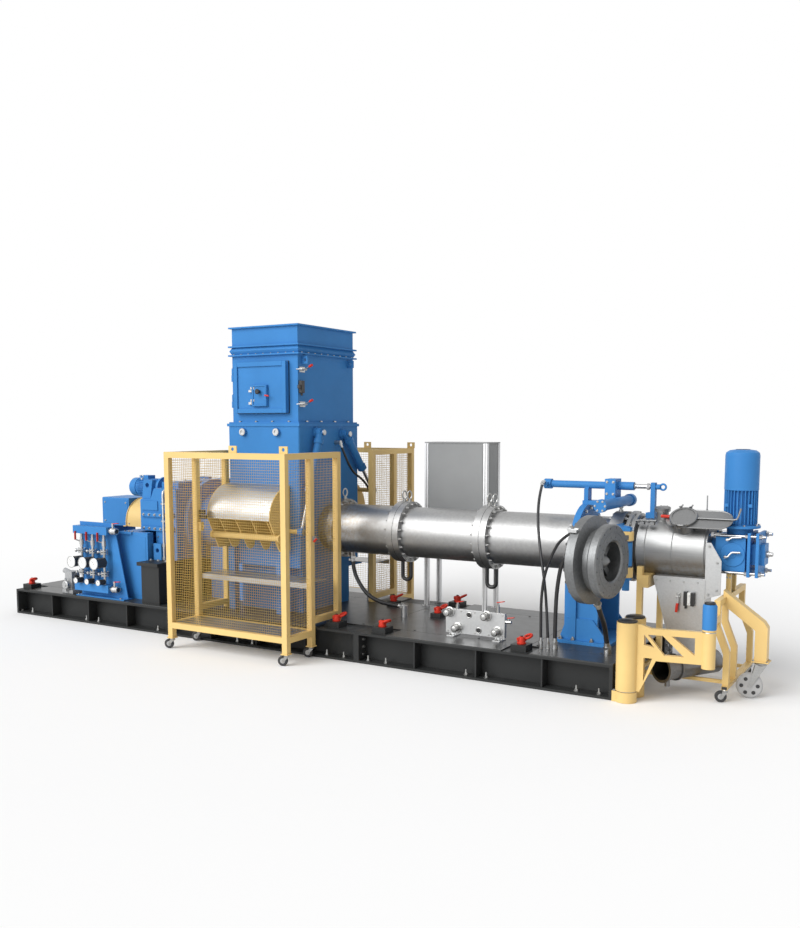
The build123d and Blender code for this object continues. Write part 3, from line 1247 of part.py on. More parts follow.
# Ferrules on bosses of the deck, and the ferrules at the other ends
with BuildPart() as hose_fittings:
    for route, diameter in ((cap_hose, hose_diameter), (lock_hose, hose_diameter), (heat_hose, feed_hose_diameter),
                            (die_hose_route, drain_hose_diameter), (barrel_hose_route, drain_hose_diameter),
                            (hopper_hose_route, hose_diameter)):
        low = fitting(route, diameter, fitting_length - 30)
        rod((low.X, low.Y, deck_top), (low.X, low.Y, low.Z + 12), 0.75 * diameter)
    tip = fitting(cap_hose[::-1], hose_diameter, fitting_length - 20)
    rod((tip.X, -port_reach, tip.Z), (tip.X, tip.Y, tip.Z), 0.64 * hose_diameter)
    for route, diameter in ((lock_hose, hose_diameter), (heat_hose, feed_hose_diameter)):
        tip = fitting(route[::-1], diameter, 40)
        gap = (die_frame.origin - tip).dot(die_normal)
        rod(tip - die_normal * 12, tip + die_normal * gap, 0.8 * diameter)
    tip = fitting(hopper_hose_route[::-1], hose_diameter, 30)
    rod((hopper_half_x, tip.Y, tip.Z), (tip.X + 10, tip.Y, tip.Z), 0.9 * hose_diameter)
finish(hose_fittings, "hose_fittings")
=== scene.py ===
import math
import bmesh
import bpy
from mathutils import Matrix, Vector


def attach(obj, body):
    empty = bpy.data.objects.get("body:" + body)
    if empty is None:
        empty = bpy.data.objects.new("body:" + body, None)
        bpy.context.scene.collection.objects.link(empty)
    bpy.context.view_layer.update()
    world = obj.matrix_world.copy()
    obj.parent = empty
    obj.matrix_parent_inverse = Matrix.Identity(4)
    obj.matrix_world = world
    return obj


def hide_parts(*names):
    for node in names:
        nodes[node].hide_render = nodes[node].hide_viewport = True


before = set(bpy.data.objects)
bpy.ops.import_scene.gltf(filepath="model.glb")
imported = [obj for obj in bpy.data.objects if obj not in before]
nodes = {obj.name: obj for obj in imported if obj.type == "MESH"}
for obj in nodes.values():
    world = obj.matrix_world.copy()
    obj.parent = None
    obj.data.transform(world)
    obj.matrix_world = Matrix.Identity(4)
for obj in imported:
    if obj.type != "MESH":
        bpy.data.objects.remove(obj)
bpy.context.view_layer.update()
scene = bpy.context.scene
print("frame loaded:", len(nodes), "nodes")

# camera, at the place the photo was taken from
cameraSet = {"place": (6.549, -8.731, 2.302), "azimuth": 30.68, "pitch": 6.138, "lens": 43.477,
        "shiftUp": 0.08375}

cameraData = bpy.data.cameras.new("photoCamera")
cameraData.sensor_fit = "HORIZONTAL"
cameraData.sensor_width = 36
cameraData.lens = cameraSet["lens"]
cameraData.shift_y = cameraSet["shiftUp"]
cameraData.clip_end = 200
photoCamera = bpy.data.objects.new("photoCamera", cameraData)
photoCamera.location = cameraSet["place"]
photoCamera.rotation_euler = (math.radians(90 - cameraSet["pitch"]), 0, math.radians(cameraSet["azimuth"]))
scene.collection.objects.link(photoCamera)
scene.camera = photoCamera
scene.view_settings.view_transform = "Standard"

# studio: white surround, one large soft key from the front left, an even soft light all round
studioSet = {"surround": 1.0, "ambient": 0.54, "key": 3.0, "keyAngle": 50, "keyTurn": (57, -12, -16),
             "floorTone": 0.93, "floorHalf": 60, "floorDrop": 0.002, "whiteFrom": 5.0, "whiteTo": 9.0}

world = bpy.data.worlds.new("studio")
scene.world = world
world.use_nodes = True
worldNodes = world.node_tree.nodes
worldNodes.clear()
worldOut = worldNodes.new("ShaderNodeOutputWorld")
softLight = worldNodes.new("ShaderNodeBackground")
softLight.inputs["Color"].default_value = (1.0, 1.0, 1.0, 1)
softLight.inputs["Strength"].default_value = studioSet["ambient"]
whiteWall = worldNodes.new("ShaderNodeBackground")
whiteWall.inputs["Color"].default_value = (1.0, 1.0, 1.0, 1)
whiteWall.inputs["Strength"].default_value = studioSet["surround"]


def whereWhiteShows(tree):
    # 1 for the rays that see the white surround: straight, mirrored or through glass
    rays = tree.nodes.new("ShaderNodeLightPath")
    shown = rays.outputs["Is Camera Ray"]
    for ray in ("Is Glossy Ray", "Is Transmission Ray"):
        larger = tree.nodes.new("ShaderNodeMath")
        larger.operation = "MAXIMUM"
        tree.links.new(shown, larger.inputs[0])
        tree.links.new(rays.outputs[ray], larger.inputs[1])
        shown = larger.outputs[0]
    return shown


pick = worldNodes.new("ShaderNodeMixShader")
world.node_tree.links.new(whereWhiteShows(world.node_tree), pick.inputs[0])
world.node_tree.links.new(softLight.outputs[0], pick.inputs[1])
world.node_tree.links.new(whiteWall.outputs[0], pick.inputs[2])
world.node_tree.links.new(pick.outputs[0], worldOut.inputs[0])

keyData = bpy.data.lights.new("keyLight", "SUN")
keyData.energy = studioSet["key"]
keyData.angle = math.radians(studioSet["keyAngle"])
keyLight = bpy.data.objects.new("keyLight", keyData)
keyLight.rotation_euler = [math.radians(turn) for turn in studioSet["keyTurn"]]
scene.collection.objects.link(keyLight)


def studioFloor():
    mesh = bpy.data.meshes.new("studioFloor")
    half = studioSet["floorHalf"]
    mesh.from_pydata([(-half, -half, 0), (half, -half, 0), (half, half, 0), (-half, half, 0)], [],
            [(0, 1, 2, 3)])
    floor = bpy.data.objects.new("studioFloor", mesh)
    floor.location.z = -studioSet["floorDrop"]
    scene.collection.objects.link(floor)
    mat = bpy.data.materials.new("paleFloor")
    mat.use_nodes = True
    tree = mat.node_tree
    tree.nodes.clear()
    out = tree.nodes.new("ShaderNodeOutputMaterial")
    matt = tree.nodes.new("ShaderNodeBsdfDiffuse")
    tone = studioSet["floorTone"]
    matt.inputs["Color"].default_value = (tone, tone, tone, 1)
    glow = tree.nodes.new("ShaderNodeEmission")
    glow.inputs["Color"].default_value = (1, 1, 1, 1)
    where = tree.nodes.new("ShaderNodeNewGeometry")
    far = tree.nodes.new("ShaderNodeVectorMath")
    far.operation = "LENGTH"
    fade = tree.nodes.new("ShaderNodeMapRange")  # the floor turns to plain white away from the object
    fade.inputs["From Min"].default_value = studioSet["whiteFrom"]
    fade.inputs["From Max"].default_value = studioSet["whiteTo"]
    share = tree.nodes.new("ShaderNodeMath")
    share.operation = "MULTIPLY"
    mix = tree.nodes.new("ShaderNodeMixShader")
    tree.links.new(where.outputs["Position"], far.inputs[0])
    tree.links.new(far.outputs["Value"], fade.inputs["Value"])
    tree.links.new(fade.outputs["Result"], share.inputs[0])
    tree.links.new(whereWhiteShows(tree), share.inputs[1])
    tree.links.new(share.outputs[0], mix.inputs[0])
    tree.links.new(matt.outputs[0], mix.inputs[1])
    tree.links.new(glow.outputs[0], mix.inputs[2])
    tree.links.new(mix.outputs[0], out.inputs[0])
    mesh.materials.append(mat)


studioFloor()
print("studio and camera set")


# finishes: each has its own grain, tone drift and roughness
def newFinish(name):
    mat = bpy.data.materials.new(name)
    mat.use_nodes = True
    tree = mat.node_tree
    shader = tree.nodes["Principled BSDF"]
    place = tree.nodes.new("ShaderNodeTexCoord")
    return mat, tree, shader, place.outputs["Object"]


def grain(tree, place, size, stretch=(1, 1, 1), detail=4.0, rough=0.55):
    turn = tree.nodes.new("ShaderNodeMapping")
    turn.inputs["Scale"].default_value = stretch
    noise = tree.nodes.new("ShaderNodeTexNoise")
    noise.inputs["Scale"].default_value = size
    noise.inputs["Detail"].default_value = detail
    noise.inputs["Roughness"].default_value = rough
    tree.links.new(place, turn.inputs["Vector"])
    tree.links.new(turn.outputs["Vector"], noise.inputs["Vector"])
    return noise.outputs["Fac"]


def toneBetween(tree, fac, low, high, dark, light):
    ramp = tree.nodes.new("ShaderNodeValToRGB")
    ramp.color_ramp.elements[0].position = low
    ramp.color_ramp.elements[0].color = (*dark, 1)
    ramp.color_ramp.elements[1].position = high
    ramp.color_ramp.elements[1].color = (*light, 1)
    tree.links.new(fac, ramp.inputs["Fac"])
    return ramp.outputs["Color"]


def spread(tree, fac, low, high):
    span = tree.nodes.new("ShaderNodeMapRange")
    span.inputs["From Min"].default_value = 0.3
    span.inputs["From Max"].default_value = 0.7
    span.inputs["To Min"].default_value = low
    span.inputs["To Max"].default_value = high
    tree.links.new(fac, span.inputs["Value"])
    return span.outputs["Result"]


def bumpFrom(tree, shader, fac, strength, depth=0.001):
    bump = tree.nodes.new("ShaderNodeBump")
    bump.inputs["Strength"].default_value = strength
    bump.inputs["Distance"].default_value = depth
    tree.links.new(fac, bump.inputs["Height"])
    tree.links.new(bump.outputs["Normal"], shader.inputs["Normal"])


def shade(colour, k):
    return tuple(min(1, c * k) for c in colour)


def sprayPaint(name, colour, gloss=(0.28, 0.42), drift=0.10, peel=0.05, sheen=0.22):
    mat, tree, shader, place = newFinish(name)
    cloud = grain(tree, place, 2.3, detail=6)
    tone = toneBetween(tree, cloud, 0.32, 0.68, shade(colour, 1 - drift), shade(colour, 1 + drift))
    tree.links.new(tone, shader.inputs["Base Color"])
    tree.links.new(spread(tree, grain(tree, place, 9.0), *gloss), shader.inputs["Roughness"])
    bumpFrom(tree, shader, grain(tree, place, 210.0, detail=2), peel)
    shader.inputs["Specular IOR Level"].default_value = sheen
    return mat


def brushedMetal(name, colour, along=(320, 5, 5), gloss=(0.24, 0.40), drift=0.12, lines=0.05):
    mat, tree, shader, place = newFinish(name)
    shader.inputs["Metallic"].default_value = 1.0
    strokes = grain(tree, place, 1.0, along, detail=3, rough=0.6)
    tone = toneBetween(tree, strokes, 0.3, 0.7, shade(colour, 1 - drift), shade(colour, 1 + drift))
    tree.links.new(tone, shader.inputs["Base Color"])
    cloud = grain(tree, place, 3.1, detail=5)
    tree.links.new(spread(tree, cloud, *gloss), shader.inputs["Roughness"])
    bumpFrom(tree, shader, strokes, lines)
    return mat


def shadeAndReflectionMetal(name, colour, axis, plainEnd, paintedEnd, gloss):
    # brushed metal with painted shade and a painted reflection: a dark brown mixed into its colour, growing
    # along one axis from the plain end to the painted end
    mat = brushedMetal(name, colour, (34, 34, 34) if axis == "X" else (5, 120, 120), gloss, 0.06, 0.015)
    tree = mat.node_tree
    shader = tree.nodes["Principled BSDF"]
    place = tree.nodes["Texture Coordinate"].outputs["Object"]
    metal = shader.inputs["Base Color"].links[0].from_socket
    apart = tree.nodes.new("ShaderNodeSeparateXYZ")
    tree.links.new(place, apart.inputs[0])
    reach = tree.nodes.new("ShaderNodeMapRange")
    reach.inputs["From Min"].default_value = plainEnd
    reach.inputs["From Max"].default_value = paintedEnd
    reach.inputs["To Max"].default_value = 0.9
    tree.links.new(apart.outputs[axis], reach.inputs["Value"])
    paintedShadeMask = tree.nodes.new("ShaderNodeMath")
    paintedShadeMask.operation = "MULTIPLY"
    tree.links.new(reach.outputs["Result"], paintedShadeMask.inputs[0])
    tree.links.new(spread(tree, grain(tree, place, 24.0, detail=9, rough=0.7), -0.2, 1.0), paintedShadeMask.inputs[1])
    paintedShadeMask.use_clamp = True
    # painted shade and reflection: the dark brown that the mask mixes into the metal
    blend = tree.nodes.new("ShaderNodeMixRGB")
    blend.inputs["Color2"].default_value = (0.235, 0.165, 0.085, 1)
    tree.links.new(paintedShadeMask.outputs[0], blend.inputs["Fac"])
    tree.links.new(metal, blend.inputs["Color1"])
    tree.links.new(blend.outputs["Color"], shader.inputs["Base Color"])
    return mat


def moulded(name, colour, gloss=(0.45, 0.62), drift=0.15):
    mat, tree, shader, place = newFinish(name)
    cloud = grain(tree, place, 14.0, detail=5)
    tone = toneBetween(tree, cloud, 0.3, 0.7, shade(colour, 1 - drift), shade(colour, 1 + drift))
    tree.links.new(tone, shader.inputs["Base Color"])
    tree.links.new(spread(tree, cloud, *gloss), shader.inputs["Roughness"])
    bumpFrom(tree, shader, grain(tree, place, 420.0, detail=2), 0.08)
    return mat


# the maker of each finish, its colour, then the maker's other values in their order
finishSet = {
    "skidBlack": (sprayPaint, (0.026, 0.027, 0.027), (0.36, 0.52)),
    "deckDark": (sprayPaint, (0.036, 0.037, 0.037), (0.30, 0.34), 0.04, 0.01, 0.40),
    "machineBlue": (sprayPaint, (0.047, 0.204, 0.490), (0.34, 0.46), 0.06, 0.05, 0.10),
    "guardYellow": (sprayPaint, (0.73, 0.515, 0.205), (0.34, 0.46), 0.05),
    "signalRed": (sprayPaint, (0.56, 0.035, 0.018), (0.30, 0.42)),
    "cabinetGrey": (sprayPaint, (0.27, 0.275, 0.275), (0.36, 0.5), 0.05),
    "pumpGrey": (sprayPaint, (0.33, 0.335, 0.34), (0.34, 0.5)),
    "barrelSteel": (brushedMetal, (0.37, 0.37, 0.368), (34, 34, 34), (0.40, 0.48), 0.08, 0.02),
    # painted shade and reflection: the feed barrel turns dark brown towards the hopper end, the drum towards
    # its underside
    "feedBarrelSteel": (shadeAndReflectionMetal, (0.37, 0.37, 0.368), "X", 1.30, 0.72, (0.38, 0.48)),
    "drumSteel": (shadeAndReflectionMetal, (0.33, 0.332, 0.33), "Z", 1.18, 0.98, (0.44, 0.50)),
    "plateSteel": (brushedMetal, (0.50, 0.505, 0.505), (60, 60, 60), (0.34, 0.46), 0.06, 0.02),
    # painted shade: a darker copy of the plate steel, so the lids, which face up into the light, render
    # mid-grey
    "lidSteel": (brushedMetal, (0.25, 0.252, 0.252), (60, 60, 60), (0.44, 0.54), 0.06, 0.02),
    "dieSteel": (brushedMetal, (0.20, 0.205, 0.207), (46, 46, 46), (0.40, 0.54), 0.12, 0.03),
    "postAluminium": (brushedMetal, (0.70, 0.705, 0.71), (160, 160, 4), (0.44, 0.54), 0.04, 0.02),
    "boltZinc": (brushedMetal, (0.42, 0.42, 0.41), (90, 90, 90), (0.25, 0.4)),
    "pipeDark": (brushedMetal, (0.20, 0.20, 0.20), (60, 60, 60), (0.3, 0.46)),
    "tyreBlack": (moulded, (0.030, 0.030, 0.031)),
    "knobBlack": (moulded, (0.018, 0.018, 0.019), (0.30, 0.45)),
    "hoseBlack": (moulded, (0.016, 0.016, 0.017), (0.34, 0.5)),
    # painted shade: the guard's yellow made darker for the thin wires of the mesh
    "wireGold": (sprayPaint, (0.60, 0.40, 0.11), (0.40, 0.55), 0.08),
    "caseGrey": (sprayPaint, (0.045, 0.046, 0.048), (0.28, 0.4)),
    "dialWhite": (moulded, (0.80, 0.80, 0.78), (0.28, 0.36), 0.03),
    "boltDark": (brushedMetal, (0.11, 0.11, 0.11), (80, 80, 80), (0.34, 0.5)),
    "hubGrey": (moulded, (0.42, 0.42, 0.42), (0.35, 0.5), 0.06),
    "chrome": (brushedMetal, (0.44, 0.44, 0.445), (4, 90, 90), (0.24, 0.34), 0.04, 0.01),
    # painted shade: a darker copy of the post aluminium for the slots
    "slotGrey": (brushedMetal, (0.26, 0.26, 0.27), (200, 200, 4), (0.35, 0.5), 0.08),
}
finish = {name: make(name, *values) for name, (make, *values) in finishSet.items()}

nodeFinish = {
    "skidBlack": ["skid_rear", "skid_front", "gearbox_plinth"],
    "deckDark": ["deck_plates"],
    "signalRed": ["lifting_rings"],
    "machineBlue": ["gearbox", "drive_pedestal", "drive_motor", "oil_pump_motor", "output_neck", "water_rack",
                    "hopper_base", "hopper_box", "hopper_door", "door_flap", "feed_stand", "die_column",
                    "die_cylinders", "die_hinge", "cutter_gearbox", "cutter_motor", "hopper_cylinders",
                    "pull_arm"],
    "guardYellow": ["coupling_guard", "cage_frame", "cage_mesh_front", "cage_mesh_left", "cage_mesh_right",
                    "feed_deflector", "rear_cage", "rear_cage_mesh", "pivot_posts", "swing_arm",
                    "trolley_frame"],
    "plateSteel": ["oil_pipes", "water_valves", "cage_floor", "door_clamps", "feed_cover", "valve_block",
                   "discharge_chute", "hose_fittings"],
    "pumpGrey": ["dosing_pump"],
    "tyreBlack": ["cage_castors", "trolley_castors"],
    "feedBarrelSteel": ["barrel_feed"],
    "barrelSteel": ["barrel_middle", "barrel_outlet"],
    "cabinetGrey": ["cabinet"],
    "postAluminium": ["cabinet_posts"],
    "dieSteel": ["die_head"],
    "drumSteel": ["pelletizer_drum"],
    "pipeDark": ["outlet_tube"],
    "hoseBlack": ["jumper_pipes", "column_hoses", "die_hose", "barrel_hose", "hopper_hose"],
}

for finishName, members in nodeFinish.items():
    for member in members:
        mesh = nodes[member].data
        mesh.materials.clear()
        mesh.materials.append(finish[finishName])
print("finishes on", sum(len(m) for m in nodeFinish.values()), "nodes")


# mesh helpers: each piece is gathered in a bag of faces and made once
def aimed(place, direction):
    return Matrix.Translation(place) @ Vector(direction).to_track_quat("Z", "Y").to_matrix().to_4x4()


def addRod(bag, start, end, radius, sides=16, tip=None):
    start, end = Vector(start), Vector(end)
    bmesh.ops.create_cone(bag, cap_ends=True, segments=sides, radius1=radius,
            radius2=radius if tip is None else tip, depth=(end - start).length,
            matrix=aimed((start + end) / 2, end - start))


def addBox(bag, low, high):
    low, high = Vector(low), Vector(high)
    bmesh.ops.create_cube(bag, size=1, matrix=Matrix.Translation((low + high) / 2)
            @ Matrix.Diagonal((*(high - low), 1)))


def addBar(bag, start, end, wide, high):
    # a flat bar between two points, wide across and high along its own up direction
    start, end = Vector(start), Vector(end)
    size = Matrix.Diagonal((wide, high, (end - start).length, 1))
    bmesh.ops.create_cube(bag, size=1, matrix=aimed((start + end) / 2, end - start) @ size)


def addLathe(bag, place, direction, outline, sides=32):
    turn = aimed(place, direction)
    rings = []
    for along, radius in outline:
        turns = [2 * math.pi * k / sides for k in range(sides)]
        rings.append([bag.verts.new(turn @ Vector((radius * math.cos(a), radius * math.sin(a), along)))
                      for a in turns])
    for lower, upper in zip(rings, rings[1:]):
        for k in range(sides):
            bag.faces.new((lower[k], lower[(k + 1) % sides], upper[(k + 1) % sides], upper[k]))
    bag.faces.new(rings[0][::-1])
    bag.faces.new(rings[-1])


def addRing(bag, place, direction, radius, wire, sides=28, section=10):
    turn = aimed(place, direction)
    loops = []
    for k in range(sides):
        a = 2 * math.pi * k / sides
        loop = []
        for m in range(section):
            b = 2 * math.pi * m / section
            out = radius + wire * math.cos(b)
            spot = Vector((out * math.cos(a), out * math.sin(a), wire * math.sin(b)))
            loop.append(bag.verts.new(turn @ spot))
        loops.append(loop)
    for first, second in zip(loops, loops[1:] + loops[:1]):
        for m in range(section):
            bag.faces.new((first[m], second[m], second[(m + 1) % section], first[(m + 1) % section]))


def addTube(bag, points, radius, sides=10):
    points = [Vector(p) for p in points]
    loops = []
    side = None
    for k, spot in enumerate(points):
        along = (points[min(k + 1, len(points) - 1)] - points[max(k - 1, 0)]).normalized()
        if side is None:
            side = along.orthogonal().normalized()
        side = (side - along * side.dot(along)).normalized()
        other = along.cross(side)
        loops.append([bag.verts.new(spot + radius * (side * math.cos(2 * math.pi * m / sides)
                                                     + other * math.sin(2 * math.pi * m / sides)))
                      for m in range(sides)])
    for first, second in zip(loops, loops[1:]):
        for m in range(sides):
            bag.faces.new((first[m], first[(m + 1) % sides], second[(m + 1) % sides], second[m]))
    bag.faces.new(loops[0][::-1])
    bag.faces.new(loops[-1])


def addBolt(bag, place, normal, size, stud=0.0):
    # washer, six-sided head and, where asked, the stud's end
    place, normal = Vector(place), Vector(normal).normalized()
    addRod(bag, place, place + normal * 0.18 * size, 1.25 * size, 14)
    addRod(bag, place + normal * 0.18 * size, place + normal * size, size, 6, 0.92 * size)
    if stud:
        addRod(bag, place + normal * size, place + normal * (size + stud), 0.55 * size, 10, 0.42 * size)


def addBolts(bag, xs, ys, zs, normal, size, stud=0.0):
    for x in xs:
        for y in ys:
            for z in zs:
                addBolt(bag, (x, y, z), normal, size, stud)


def addBoltCircle(bag, centre, normal, radius, count, size, stud=0.0, start=0.5):
    # bolts round a circle square to one of the three axes
    first = Vector((0, 1, 0) if normal[0] else (1, 0, 0))
    second = Vector((0, 1, 0) if normal[2] else (0, 0, 1))
    for k in range(count):
        a = 2 * math.pi * (k + start) / count
        out = radius * (first * math.cos(a) + second * math.sin(a))
        addBolt(bag, Vector(centre) + out, normal, size, stud)


def addPrism(bag, outline, thick):
    # a flat plate from its outline and the vector of its thickness
    near = [bag.verts.new(v) for v in outline]
    far = [bag.verts.new(Vector(v) + thick) for v in outline]
    bag.faces.new(near)
    bag.faces.new(far[::-1])
    for k in range(len(near)):
        bag.faces.new((near[k], near[(k + 1) % len(near)], far[(k + 1) % len(near)], far[k]))


def addBorder(bag, low, high, wide):
    # four boxes round the edge of a front face, between two opposite corners
    (x0, y0, z0), (x1, y1, z1) = low, high
    for x in (x0, x1 - wide):
        addBox(bag, (x, y0, z0), (x + wide, y1, z1))
    for z in (z0, z1 - wide):
        addBox(bag, (x0 + wide, y0, z), (x1 - wide, y1, z + wide))


def makePiece(name, bag, finishName, body="line", stands=(), edge=0.0, sharp=35):
    bmesh.ops.recalc_face_normals(bag, faces=bag.faces)
    mesh = bpy.data.meshes.new(name)
    bag.to_mesh(mesh)
    bag.free()
    mesh.polygons.foreach_set("use_smooth", [True] * len(mesh.polygons))
    mesh.set_sharp_from_angle(angle=math.radians(sharp))
    mesh.materials.append(finish[finishName])
    piece = bpy.data.objects.new(name, mesh)
    scene.collection.objects.link(piece)
    if edge:
        rounding = piece.modifiers.new("edge", "BEVEL")
        rounding.width = edge
        rounding.segments = 2
        rounding.limit_method = "ANGLE"
    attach(piece, body)
    for node in stands:
        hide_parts(node)


# hoses, on the same corner points as the solids
hoseSet = {
    "capHose": {"node": "column_hoses", "diameter": 0.026, "length": 1.60, "stiffness": "stiff", "route": [
        (3.325, -0.68, 0.382), (3.3178, -0.6892, 0.6137), (3.2853, -0.6737, 0.9008),
        (3.2122, -0.6133, 1.1746), (3.1395, -0.5147, 1.4369), (3.0814, -0.349, 1.6668),
        (3.035, -0.16, 1.762)]},
    "lockHose": {"node": "column_hoses", "diameter": 0.026, "length": 1.22, "stiffness": "stiff", "route": [
        (3.265, -0.7, 0.382), (3.2637, -0.7034, 0.5582), (3.2716, -0.7222, 0.7773), (3.312, -0.76, 0.99),
        (3.4008, -0.8161, 1.183), (3.5185, -0.8939, 1.3514), (3.66, -0.96, 1.42)]},
    "heatHose": {"node": "column_hoses", "diameter": 0.036, "length": 1.03, "stiffness": "stiff", "route": [
        (3.385, -0.66, 0.382), (3.3881, -0.6714, 0.6139), (3.4124, -0.7, 0.9017), (3.4836, -0.7497, 1.1777),
        (3.64, -0.81, 1.325)]},
    "dieHose": {"node": "die_hose", "diameter": 0.044, "length": 0.506, "stiffness": "stiff", "route": [
        (3.85, -0.6, 0.382), (3.8445, -0.625, 0.4915), (3.8479, -0.7013, 0.6104), (3.8533, -0.8087, 0.7024),
        (3.854, -0.88, 0.79)]},
    "barrelHose": {"node": "barrel_hose", "diameter": 0.044, "length": 0.898, "stiffness": "stiff", "route": [
        (1.425, -0.07, 0.422), (1.2955, -0.0664, 0.4241), (1.1352, -0.055, 0.4425), (0.9856, -0.0421, 0.5004),
        (0.8718, -0.0284, 0.6137), (0.7837, -0.006, 0.7469), (0.77, 0.0, 0.875)]},
    "hopperHose": {"node": "hopper_hose", "diameter": 0.026, "length": 1.974, "stiffness": "stiff", "route": [
        (0.6, 0.59, 0.382), (0.5994, 0.5928, 0.5497), (0.5981, 0.5991, 0.7594), (0.5984, 0.6028, 0.969),
        (0.5998, 0.6186, 1.178), (0.6012, 0.6522, 1.385), (0.6031, 0.6149, 1.5884), (0.605, 0.4568, 1.7178),
        (0.6081, 0.2628, 1.7966), (0.6005, 0.1319, 1.9538), (0.55, 0.11, 2.106)]},
}


def makeHose(name, facts):
    curve = bpy.data.curves.new(name, "CURVE")
    curve.dimensions = "3D"
    curve.bevel_depth = facts["diameter"] / 2
    curve.bevel_resolution = 3
    curve.resolution_u = 8
    curve.use_fill_caps = True
    line = curve.splines.new("NURBS")
    line.points.add(len(facts["route"]) - 1)
    for point, spot in zip(line.points, facts["route"]):
        point.co = (*spot, 1)
    line.order_u = 3
    line.use_endpoint_u = True
    curve.materials.append(finish["hoseBlack"])
    piece = bpy.data.objects.new(name, curve)
    scene.collection.objects.link(piece)
    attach(piece, "line")
    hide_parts(facts["node"])


for hoseName, hoseFacts in hoseSet.items():
    makeHose(hoseName, hoseFacts)
print("hoses laid:", len(hoseSet))

# skid: a bolt each side of the stiffeners, end plates bolted together at the split
skidSet = {"pairs": [-3.50, -2.335, -1.175, -0.02, 1.145, 1.637, 2.712, 3.783], "apart": 0.205, "head": 0.019,
           "edge": 0.893, "flangeTop": 0.022, "stud": 0.034, "endAcross": (0.72, 0.86),
           "endRows": (0.075, 0.15, 0.225)}


def dressSkid():
    bag = bmesh.new()
    for side in (-1, 1):
        for middle in skidSet["pairs"]:
            for step in (-0.5, 0.5):
                addBolt(bag, (middle + step * skidSet["apart"], side * skidSet["edge"],
                        skidSet["flangeTop"]), (0, 0, 1), skidSet["head"], skidSet["stud"])
        across, rows = [side * y for y in skidSet["endAcross"]], skidSet["endRows"]
        addBolts(bag, [-3.62], across, rows, (-1, 0, 0), 0.017)
        addBolts(bag, [4.02], across, rows, (1, 0, 0), 0.017)
        addBolts(bag, [1.46], across, rows, (1, 0, 0), 0.015)
    makePiece("skidBolts", bag, "boltZinc")
    bag = bmesh.new()
    for x in (-3.1, -2.3, -1.3, -0.2, 0.7, 1.3, 1.9, 2.6, 3.2, 3.8):  # flush screws along the deck's edge
        for y in (-0.61, 0.61):
            addLathe(bag, (x, y, 0.312), (0, 0, 1), [(0, 0.012), (0.003, 0.012), (0.005, 0.009)], 12)
    makePiece("deckScrews", bag, "boltDark")


# swivel lifting points: red body with its ring laid over, on a black pad
ringSet = {"pads": [(-3.51, -0.80), (-3.51, 0.80), (1.10, -0.80), (1.645, -0.80), (1.645, 0.80),
        (3.12, -0.80), (3.12, 0.80)], "deck": [(1.01, 0.47), (1.77, 0.11)], "top": 0.357, "deckTop": 0.312,
        "loop": 0.036, "wire": 0.012}


def dressRings():
    r = ringSet
    red = bmesh.new()
    pads = bmesh.new()
    for x, y in r["deck"]:
        addBox(pads, (x - 0.06, y - 0.06, r["deckTop"]), (x + 0.06, y + 0.06, r["top"]))
    for k, (x, y) in enumerate(r["pads"] + r["deck"]):
        z = r["top"]
        addLathe(red, (x, y, z), (0, 0, 1),
                [(0, 0.040), (0.010, 0.042), (0.016, 0.036), (0.040, 0.034), (0.056, 0.030), (0.066, 0.018)],
                28)
        turn = math.radians(-20 + 34 * (k % 3))
        way = Vector((math.cos(turn), math.sin(turn), 0))
        hub = Vector((x, y, z + 0.040))
        addRod(red, hub - way * 0.040, hub + way * 0.042, 0.019, 16)
        middle = hub + way * 0.066 + Vector((0, 0, 0.022))
        addRing(red, middle, (-0.42 * way.x, -0.42 * way.y, 0.91), r["loop"], r["wire"], 32, 12)
        addLathe(pads, (x, y, z + 0.066), (0, 0, 1), [(0, 0.014), (0.006, 0.014), (0.008, 0.010)], 6)
    makePiece("liftingPoints", red, "signalRed", stands=("lifting_rings",))
    makePiece("liftingPads", pads, "skidBlack", stands=("lifting_rings",), edge=0.002)


dressSkid()
dressRings()
print("skid dressed")

# cooling-water rack: pipes, gauges with white dials, red levers
rackSet = {"lines": [-2.4767, -2.29, -2.1033], "pipeY": -0.895, "low": 0.472, "high": 1.06, "gaugeZ": 0.735,
        "gauge": 0.070, "gaugeOut": 0.165, "smallZ": 0.507, "small": 0.036, "smallOut": 0.11, "right": -2.01,
        "headers": (0.427, 1.105), "flanges": (0.855, 0.597)}


def addGauge(cases, rims, dials, needles, place, radius, back):
    x, y, z = place
    addLathe(cases, (x, back, z), (0, -1, 0),
            [(0, radius * 0.55), (0.012, radius * 0.86), (back - y - 0.012, radius * 0.90),
            (back - y - 0.004, radius * 0.94)], 32)
    addLathe(rims, (x, y + 0.006, z), (0, -1, 0),
            [(0, radius * 0.96), (0.002, radius), (0.008, radius), (0.010, radius * 0.96),
            (0.010, radius * 0.88), (0.006, radius * 0.87)], 36)
    addLathe(dials, (x, y + 0.003, z), (0, -1, 0),
            [(0, radius * 0.88), (0.003, radius * 0.88), (0.0034, radius * 0.86)], 32)
    addBar(needles, (x + 0.08 * radius, y - 0.0012, z - 0.12 * radius),
            (x - 0.40 * radius, y - 0.0012, z + 0.52 * radius), 0.003, 0.0015)
    for k in range(11):  # scale ticks round the dial
        a = math.radians(-40 + 26 * k)
        inner, outer = 0.70 * radius, 0.78 * radius
        addBar(needles, (x - inner * math.cos(a), y - 0.0008, z + inner * math.sin(a)),
               (x - outer * math.cos(a), y - 0.0008, z + outer * math.sin(a)), 0.0016, 0.001)


